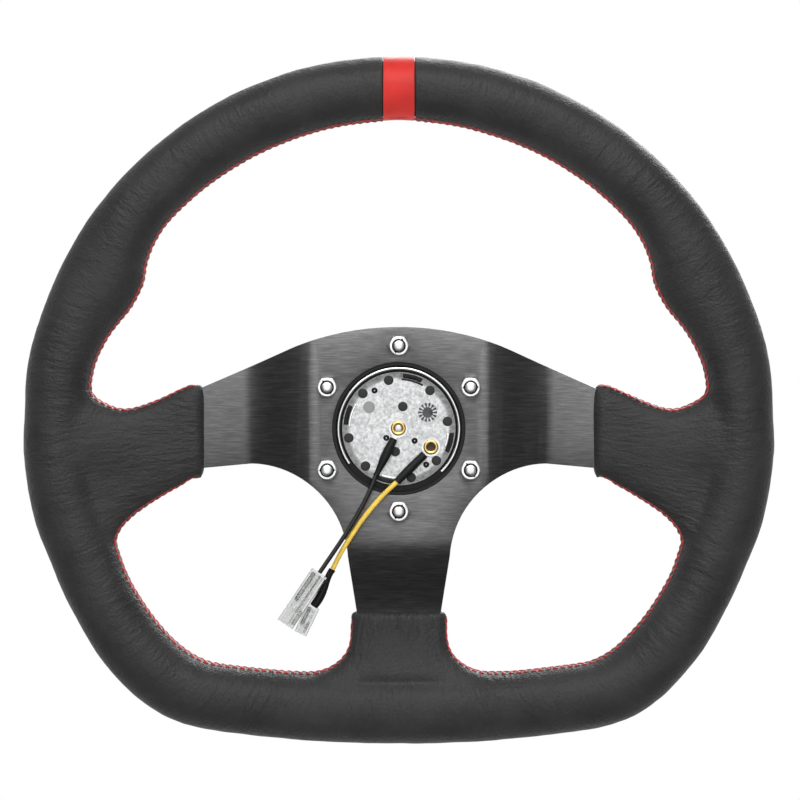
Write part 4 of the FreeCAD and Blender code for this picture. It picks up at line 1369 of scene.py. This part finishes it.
@dataclass
class BaseDetails:
    """Domed screws, rivet ends, spring bars and dark latch hooks on the horn base plate; the hooks and the
    black top bar are painted shade for the plate's windows.
    """

    screws: tuple[Pair, ...] = ((-10.3, 16.2), (-5.3, -3.9), (6.7, -5.1), (11.6, -15.2))
    rivets: tuple[Pair, ...] = (
        (-4.3, 20.5),
        (-15.2, 14.9),
        (13.2, 16.2),
        (1.7, 9.4),
        (20.6, 3.1),
        (-21.2, -3.9),
        (-14.1, -15.8),
        (-1.5, -9.7),
        (15.9, -13.5),
        (5.2, -20.6),
    )
    face: float = 2.0
    bar_radius: float = 21.0
    bars: tuple[Pair, ...] = ((164.5, 5.2), (258.0, 3.2), (346.4, 2.9), (74.0, 4.8))
    shade_tab_radius: float = 22.7
    shade_tab_half: float = 4.2
    shade_tab_angles: tuple[float, ...] = (165.0, 255.0, 345.0, 75.0)

    def build(self, black: Material, grey: Material, spring: Material, plastic: Material) -> None:
        """Make the four kinds of detail.

        Args:
            black: The screws' finish, also put on the top spring bar as painted shade.
            grey: The rivets' finish.
            spring: The other bars' finish.
            plastic: The finish of the hooks, dark tabs that stand in for the shade in the windows.
        """
        dome = (
            *((0.15, 0.12), (0.38, -0.3), (0.72, -0.38), (1.1, -0.26)),
            *((1.32, -0.04), (1.38, 0.25), (1.38, 0.6)),
        )
        cap = ((0.6, -0.2), (1.4, -0.19), (1.9, -0.12), (2.08, 0.02), (2.08, 0.5))
        for name, node, slot, spots, profile, finish in (
            ("domed_screws", "base_screws", "black_fastener", self.screws, dome, black),
            ("domed_rivets", "base_rivets", "dark_rivet", self.rivets, cap, grey),
        ):
            bm = bmesh.new()
            for across, up in spots:
                rings = [(radius, self.face + rise) for radius, rise in profile]
                turned_rings(bm, Vector((across, 0, up)), rings, 28)
            in_metres(bm)
            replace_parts(finished_piece(name, bm, finish), node)
        bm = bmesh.new()
        for angle, half in self.bars:
            self.bar(bm, angle, self.bar_radius, half, (0.42, 0.35), self.face - 0.15)
        in_metres(bm)
        bars = finished_piece("spring_bars", bm, spring)
        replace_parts(bars, "base_clips")
        # The top spring bar takes the black finish: painted shade, as it sits dark in its window while the
        # other three show bright.
        bars.data.materials.append(black)
        for face in bars.data.polygons:
            face.material_index = int(face.center.z > 15 * MM)
        # Dark tabs in the housing's plastic over the windows' outer parts: a dark sheet standing in for the
        # shade in the windows, shaped as latch hooks.
        bm = bmesh.new()
        for angle in self.shade_tab_angles:
            self.bar(bm, angle, self.shade_tab_radius, self.shade_tab_half, (1.15, 0.5), self.face - 0.1)
            self.bar(bm, angle, self.shade_tab_radius + 0.1, self.shade_tab_half * 0.45, (0.75, 0.5), self.face - 0.55)
        in_metres(bm)
        finished_piece("window_shade_tabs", bm, plastic)

    @staticmethod
    def bar(bm: Shape, angle: float, radius: float, half: float, size: Pair, depth: float) -> None:
        """Add a rounded bar that lies along a circle about the hub's axis.

        Args:
            bm: Where it goes, in millimetres.
            angle: Where its middle is, in degrees.
            radius: The circle's radius.
            half: Half its length.
            size: Half its width outwards and half its thickness.
            depth: Its middle's place along the depth axis.
        """
        loops = []
        one_end = ((1.0, 0.7), (0.96, 0.95), (0.9, 1.0), (0.45, 1.0))
        for part, girth in (*((-part, girth) for part, girth in one_end), (0.0, 1.0), *reversed(one_end)):
            turn = math.radians(angle) + half / radius * part
            outward = Vector((math.cos(turn), 0, math.sin(turn)))
            centre = outward * radius + DEPTH * depth
            frame = frame_at(centre, outward * size[0] * girth, DEPTH * size[1] * girth)
            loops.append(section(bm, frame, 16, 4.0))
        lofted(bm, loops)


@dataclass
class ReturnSprings:
    """The horn button's three coil springs, which shorten as it is pressed."""

    travel: float = 1.5 * MM

    def build(self, source: bpy.types.Object, finish: Material) -> None:
        """Make a copy of the springs, with a mesh of its own.

        Args:
            source: The frame's springs.
            finish: Their finish.
        """
        bm = bmesh.new()
        bm.from_mesh(source.data)
        bmesh.ops.remove_doubles(bm, verts=bm.verts, dist=1e-7)
        piece = finished_piece("coil_springs", bm, finish)
        piece.data.set_sharp_from_angle(angle=math.radians(40))
        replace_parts(piece, "return_springs")
        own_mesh(piece)


# ---- horn leads ----


@dataclass
class ConnectorRibs:
    """Moulded ribs on the outside of the clear connectors, in millimetres."""

    large_start: Colour = (-33.4, -7.6, -60.6)
    large_along: Colour = (-0.557, 0.0, -0.831)
    small_start: Colour = (-36.0, -3.1, -74.9)
    small_along: Colour = (-0.438, 0.0, -0.899)
    large_half_depth: float = 2.4
    small_half_depth: float = 2.0

    def build(self, clear: Material) -> None:
        """Make the ribs.

        Args:
            clear: Their finish.
        """
        bm = bmesh.new()
        large = (Vector(self.large_start), Vector(self.large_along), self.large_half_depth)
        small = (Vector(self.small_start), Vector(self.small_along), self.small_half_depth)
        self.rib(bm, large, -1.0, (0.6, 25.4), (0.35, 0.4))
        self.rib(bm, large, 1.9, (1.2, 15.0), (0.9, 0.35))
        self.rib(bm, large, -2.6, (17.5, 24.6), (0.7, 0.3))
        self.rib(bm, small, 1.2, (0.8, 9.0), (0.8, 0.45))
        self.rib(bm, small, -1.2, (7.0, 12.4), (0.5, 0.3))
        in_metres(bm)
        finished_piece("connector_ribs", bm, clear)

    @staticmethod
    def rib(
        bm: Shape,
        housing: tuple[Vector, Vector, float],
        aside: float,
        reach: Pair,
        size: Pair,
    ) -> None:
        """Add one rounded rib on a housing's rear face.

        Args:
            bm: Where it goes.
            housing: The housing's start, direction and half depth.
            aside: How far to its side the rib runs.
            reach: Where it starts and ends along the housing.
            size: Half its width and its height.
        """
        start, along, half_depth = housing
        across = DEPTH.cross(along).normalized()
        loops = []
        for place, girth in ((reach[0], 0.5), (reach[0] + 0.4, 1.0), (reach[1] - 0.4, 1.0), (reach[1], 0.5)):
            centre = start + along * place + across * aside - DEPTH * (half_depth + 0.02)
            frame = frame_at(centre, across * size[0] * girth, DEPTH * size[1] * girth)
            loops.append(section(bm, frame, 16, 3.0))
        lofted(bm, loops)


@dataclass
class Lead:
    """One horn lead, as a smooth line from its sleeve to its connector."""

    name: str
    node: str
    slot: str
    route: tuple[Colour, ...]
    diameter: float
    length: float
    goes_with: tuple[str, ...]

    def build(self, finish: Material) -> bpy.types.Object:
        """Args:
            finish: Its finish.

        Returns:
            The lead.
        """
        curve = bpy.data.curves.new(self.name, "CURVE")
        curve.dimensions = "3D"
        curve.bevel_depth = self.diameter / 2
        curve.bevel_resolution = 6
        curve.resolution_u = 16
        curve.use_fill_caps = True
        spline = curve.splines.new("NURBS")
        spline.points.add(len(self.route) - 1)
        for point, place in zip(spline.points, self.route):
            point.co = (*(part * MM for part in place), 1.0)
        spline.order_u = 3
        spline.use_endpoint_u = True
        curve.materials.append(finish)
        lead = bpy.data.objects.new(self.name, curve)
        bpy.context.scene.collection.objects.link(lead)
        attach(lead, Body.WHEEL.value)
        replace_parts(lead, self.node)
        log.info("%s: lead", self.name)
        return lead


BLACK_LEAD = Lead(
    name="black_lead",
    node="wire_black",
    slot="black_insulation",
    route=(
        (-9.7, -0.7, -19.9),
        (-12.3, -2.1, -26.6),
        (-15.9, -3.4, -33.6),
        (-20.7, -4.6, -41.8),
        (-26.9, -5.9, -51.2),
        (-33.4, -7.6, -60.6),
    ),
    diameter=1.9 * MM,
    length=47.8 * MM,
    goes_with=("connector_large", "contact_large", "connector_ribs"),
)
YELLOW_LEAD = Lead(
    name="yellow_lead",
    node="wire_yellow",
    slot="yellow_insulation",
    route=(
        (-0.9, -0.8, -22.5),
        (-5.8, -1.7, -27.0),
        (-11.6, -2.4, -33.3),
        (-17.2, -2.9, -40.7),
        (-21.9, -3.1, -48.0),
        (-25.5, -3.2, -54.1),
        (-28.0, -3.3, -59.4),
    ),
    diameter=2.1 * MM,
    length=46.2 * MM,
    goes_with=("connector_sleeve", "connector_small", "contact_small"),
)


# ---- studio ----


@dataclass
class Studio:
    """A white studio: world, floor, soft lights and the camera behind the hub."""

    distance: float = 1.6
    aim: Pair = (0.0005, 0.01215)
    lens: float = 170.2
    floor_level: float = -0.6
    floor_size: Triple = (8.0, -8.0, 4.1)
    ambient_low: float = 0.12
    ambient_high: float = 0.2
    ambient_behind: float = 0.75

    def build(self) -> None:
        """Set everything up."""
        self.make_world()
        self.make_floor()
        self.make_camera()
        self.soft_box("key_box", (0.0, -1.45, 1.55), 1.4, 27.0)
        self.soft_box("front_box", (0.0, -2.5, 0.12), 2.8, 17.0)
        self.soft_box("core_box", (0.0, -2.45, 0.12), 1.2, 3.6)
        self.soft_box("left_box", (-1.2, -1.2, 1.5), 0.9, 6.5)
        self.soft_box("right_box", (1.2, -1.2, 1.5), 0.9, 4.5)
        self.soft_box("driver_box", (0.5, 1.6, 1.1), 1.4, 34.0)
        scene = bpy.context.scene
        scene.view_settings.view_transform = "Standard"

    def make_world(self) -> None:
        """A white backdrop that lights the object less than it shows, and less from below."""
        world = bpy.data.worlds.new("studio")
        world.use_nodes = True
        tree = world.node_tree
        shown = tree.nodes["Background"]
        shown.inputs["Color"].default_value = (1, 1, 1, 1)
        shown.inputs["Strength"].default_value = 1.0
        lighting = tree.nodes.new("ShaderNodeBackground")
        lighting.inputs["Color"].default_value = (1, 1, 1, 1)
        split = tree.nodes.new("ShaderNodeSeparateXYZ")
        tree.links.new(tree.nodes.new("ShaderNodeTexCoord").outputs["Generated"], split.inputs[0])
        total = tree.nodes.new("ShaderNodeMath")
        spans = (
            ("Z", (-0.6, 0.6, self.ambient_low, self.ambient_high)),
            ("Y", (0.1, 0.7, 0.0, self.ambient_behind)),
        )
        for slot, (axis, limits) in enumerate(spans):
            height = tree.nodes.new("ShaderNodeMapRange")
            for name, number in zip(("From Min", "From Max", "To Min", "To Max"), limits):
                height.inputs[name].default_value = number
            tree.links.new(split.outputs[axis], height.inputs["Value"])
            tree.links.new(height.outputs["Result"], total.inputs[slot])
        tree.links.new(total.outputs[0], lighting.inputs["Strength"])
        mix = tree.nodes.new("ShaderNodeMixShader")
        path = tree.nodes.new("ShaderNodeLightPath")
        tree.links.new(path.outputs["Is Camera Ray"], mix.inputs[0])
        tree.links.new(lighting.outputs[0], mix.inputs[1])
        tree.links.new(shown.outputs[0], mix.inputs[2])
        tree.links.new(mix.outputs[0], tree.nodes["World Output"].inputs["Surface"])
        bpy.context.scene.world = world

    def make_floor(self) -> None:
        """A plain pale floor well below the wheel, left out of its reflections."""
        bm = bmesh.new()
        bmesh.ops.create_grid(bm, x_segments=1, y_segments=1, size=1.0)
        half_width, near, far = self.floor_size
        bmesh.ops.scale(bm, verts=bm.verts, vec=(half_width, (far - near) / 2, 1.0))
        bmesh.ops.translate(bm, verts=bm.verts, vec=(0, (far + near) / 2, self.floor_level))
        mesh = bpy.data.meshes.new("floor")
        bm.to_mesh(mesh)
        bm.free()
        bench = Bench("floor_paint")
        tone = bench.noise(bench.place(), 3.0, 2.0)
        bench.feed("Base Color", bench.ramp(tone, [(0.3, (0.9, 0.9, 0.9)), (0.7, (0.93, 0.93, 0.93))]))
        bench.fix(Roughness=0.85)
        mesh.materials.append(bench.material)
        floor = bpy.data.objects.new("floor", mesh)
        floor.visible_glossy = False
        bpy.context.scene.collection.objects.link(floor)

    def make_camera(self) -> None:
        """The camera straight behind the hub."""
        data = bpy.data.cameras.new("camera")
        data.sensor_width = 36.0
        data.lens = self.lens
        data.clip_start, data.clip_end = 0.05, 50.0
        camera = bpy.data.objects.new("camera", data)
        camera.location = (self.aim[0], -self.distance, self.aim[1])
        camera.rotation_euler = (math.radians(90), 0, 0)
        bpy.context.scene.collection.objects.link(camera)
        bpy.context.scene.camera = camera

    def soft_box(self, name: str, place: Colour, size: float, power: float) -> None:
        """A square soft light aimed at the hub.

        Args:
            name: Its name.
            place: Where it stands.
            size: Its side.
            power: Its power in watts.
        """
        data = bpy.data.lights.new(name, "AREA")
        data.shape = "SQUARE"
        data.size = size
        data.energy = power
        light = bpy.data.objects.new(name, data)
        light.location = place
        light.rotation_euler = (-Vector(place)).to_track_quat("-Z", "Y").to_euler()
        bpy.context.scene.collection.objects.link(light)


# ---- assembly ----


BLACK_LEATHER = Leather("black_leather", (0.027, 0.027, 0.0275))
RED_LEATHER = Leather("red_marker_leather", (0.6, 0.026, 0.02), 0.45, 0.02, 0.05, 0.25)
RED_THREAD = Thread("red_thread", (0.6, 0.014, 0.011))
BLACK_PLATE = BrushedPlate("black_brushed_plate", (0.155, 0.155, 0.157), 0.38)
BRIGHT_ZINC = WornMetal("bright_zinc", (0.86, 0.865, 0.87), 0.34, 0.06)
# The zinc sheet is darkened from 20.6 mm out: painted shade for its sloped edge in the shadowed recess.
ZINC_SHEET = WornMetal("zinc_sheet", (0.6, 0.605, 0.61), 0.38, 0.34, 0.03, 0.4, 20.6 * MM, 800.0, 0.78)
SPRING_WIRE = WornMetal("spring_wire", (0.86, 0.86, 0.86), 0.16, 0.06)
DARK_SPRING = WornMetal("dark_spring_steel", (0.065, 0.065, 0.068), 0.28, 0.45, 0.03)
BLACK_OXIDE = WornMetal("black_oxide", (0.03, 0.03, 0.032), 0.16, 0.2)
BRASS = WornMetal("brass", (0.87, 0.58, 0.2), 0.2, 0.12)
TINNED = WornMetal("tinned_copper", (0.66, 0.66, 0.67), 0.26, 0.14)
STEEL = WornMetal("plain_steel", (0.42, 0.42, 0.43), 0.4, 0.2)
SPUN = WornMetal("spun_insert", (0.16, 0.16, 0.17), 0.28, 0.1)
HOUSING = MouldedPlastic("housing_plastic", (0.008, 0.008, 0.009), 0.3, gloss=0.2)
CAP = MouldedPlastic("cap_plastic", (0.018, 0.018, 0.02), 0.22, 0.004, 900.0, 0.4)
RIVET = MouldedPlastic("rivet_plastic", (0.02, 0.02, 0.021), 0.5, 0.03, gloss=0.35)
# The insulator disc's fibre board is made near black so that the base plate's windows read dark: painted shade
# over its own brownish tone.
SHADED_INSULATOR = MouldedPlastic("insulator_board_painted_shade", (0.05, 0.045, 0.04), 0.6, 0.03)
STUD = MouldedPlastic("pale_stud", (0.25, 0.25, 0.25), 0.3, 0.02)
SHRINK = MouldedPlastic("heat_shrink", (0.007, 0.007, 0.0075), 0.45, 0.16, 420.0, gloss=0.28)
BLACK_SKIN = MouldedPlastic("black_insulation", (0.01, 0.01, 0.01), 0.25, 0.004, 600.0, 0.2, 0.3)
YELLOW_SKIN = MouldedPlastic("yellow_insulation", (0.83, 0.56, 0.07), 0.3, 0.004, 600.0, 0.3)
CLEAR = ClearPlastic("clear_nylon", (0.8, 0.81, 0.8))
FOAM = MouldedPlastic("moulded_foam", (0.06, 0.06, 0.06), 0.8, 0.08, 700.0)


def main() -> None:
    """Build the studio and every piece in order."""
    logging.basicConfig(level=logging.INFO, format="%(message)s")
    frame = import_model()
    nodes = frame["nodes"]
    Studio().build()
    clear = CLEAR.build()
    ConnectorRibs().build(clear)
    BLACK_LEAD.build(BLACK_SKIN.build())
    YELLOW_LEAD.build(YELLOW_SKIN.build())
    LeatherWrap(RimShape()).build(BLACK_LEATHER.build(), RED_LEATHER.build(), RED_THREAD.build())
    SpokePlate().build(nodes["spoke_plate"], BLACK_PLATE.build())
    HubFasteners().build(BRIGHT_ZINC.build())
    spring, brass, tin = SPRING_WIRE.build(), BRASS.build(), TINNED.build()
    Eyelets().build(brass, tin)
    housing = HOUSING.build()
    BaseDetails().build(BLACK_OXIDE.build(), RIVET.build(), spring, housing)
    ReturnSprings().build(nodes["return_springs"], spring)
    shrink, steel = SHRINK.build(), STEEL.build()
    CarriedParts(
        {
            "horn_housing": housing,
            "horn_circlip": spring,
            "base_plate": ZINC_SHEET.build(),
            "insulator_stud": STUD.build(),
            "star_washer": DARK_SPRING.build(),
            "terminal_black": tin,
            "terminal_yellow": tin,
            "insulator_disc": SHADED_INSULATOR.build(),
            "fixed_contact": brass,
            "horn_cap": CAP.build(),
            "cap_insert": SPUN.build(),
            "moving_contact": brass,
            "shrink_black": shrink,
            "shrink_yellow": shrink,
            "connector_sleeve": shrink,
            "connector_large": clear,
            "connector_small": clear,
            "contact_large": tin,
            "contact_small": tin,
            "rim_core": steel,
            "spoke_welds": steel,
            "rim_foam": FOAM.build(),
        }
    ).dress(nodes)


if __name__ == "__main__":
    main()
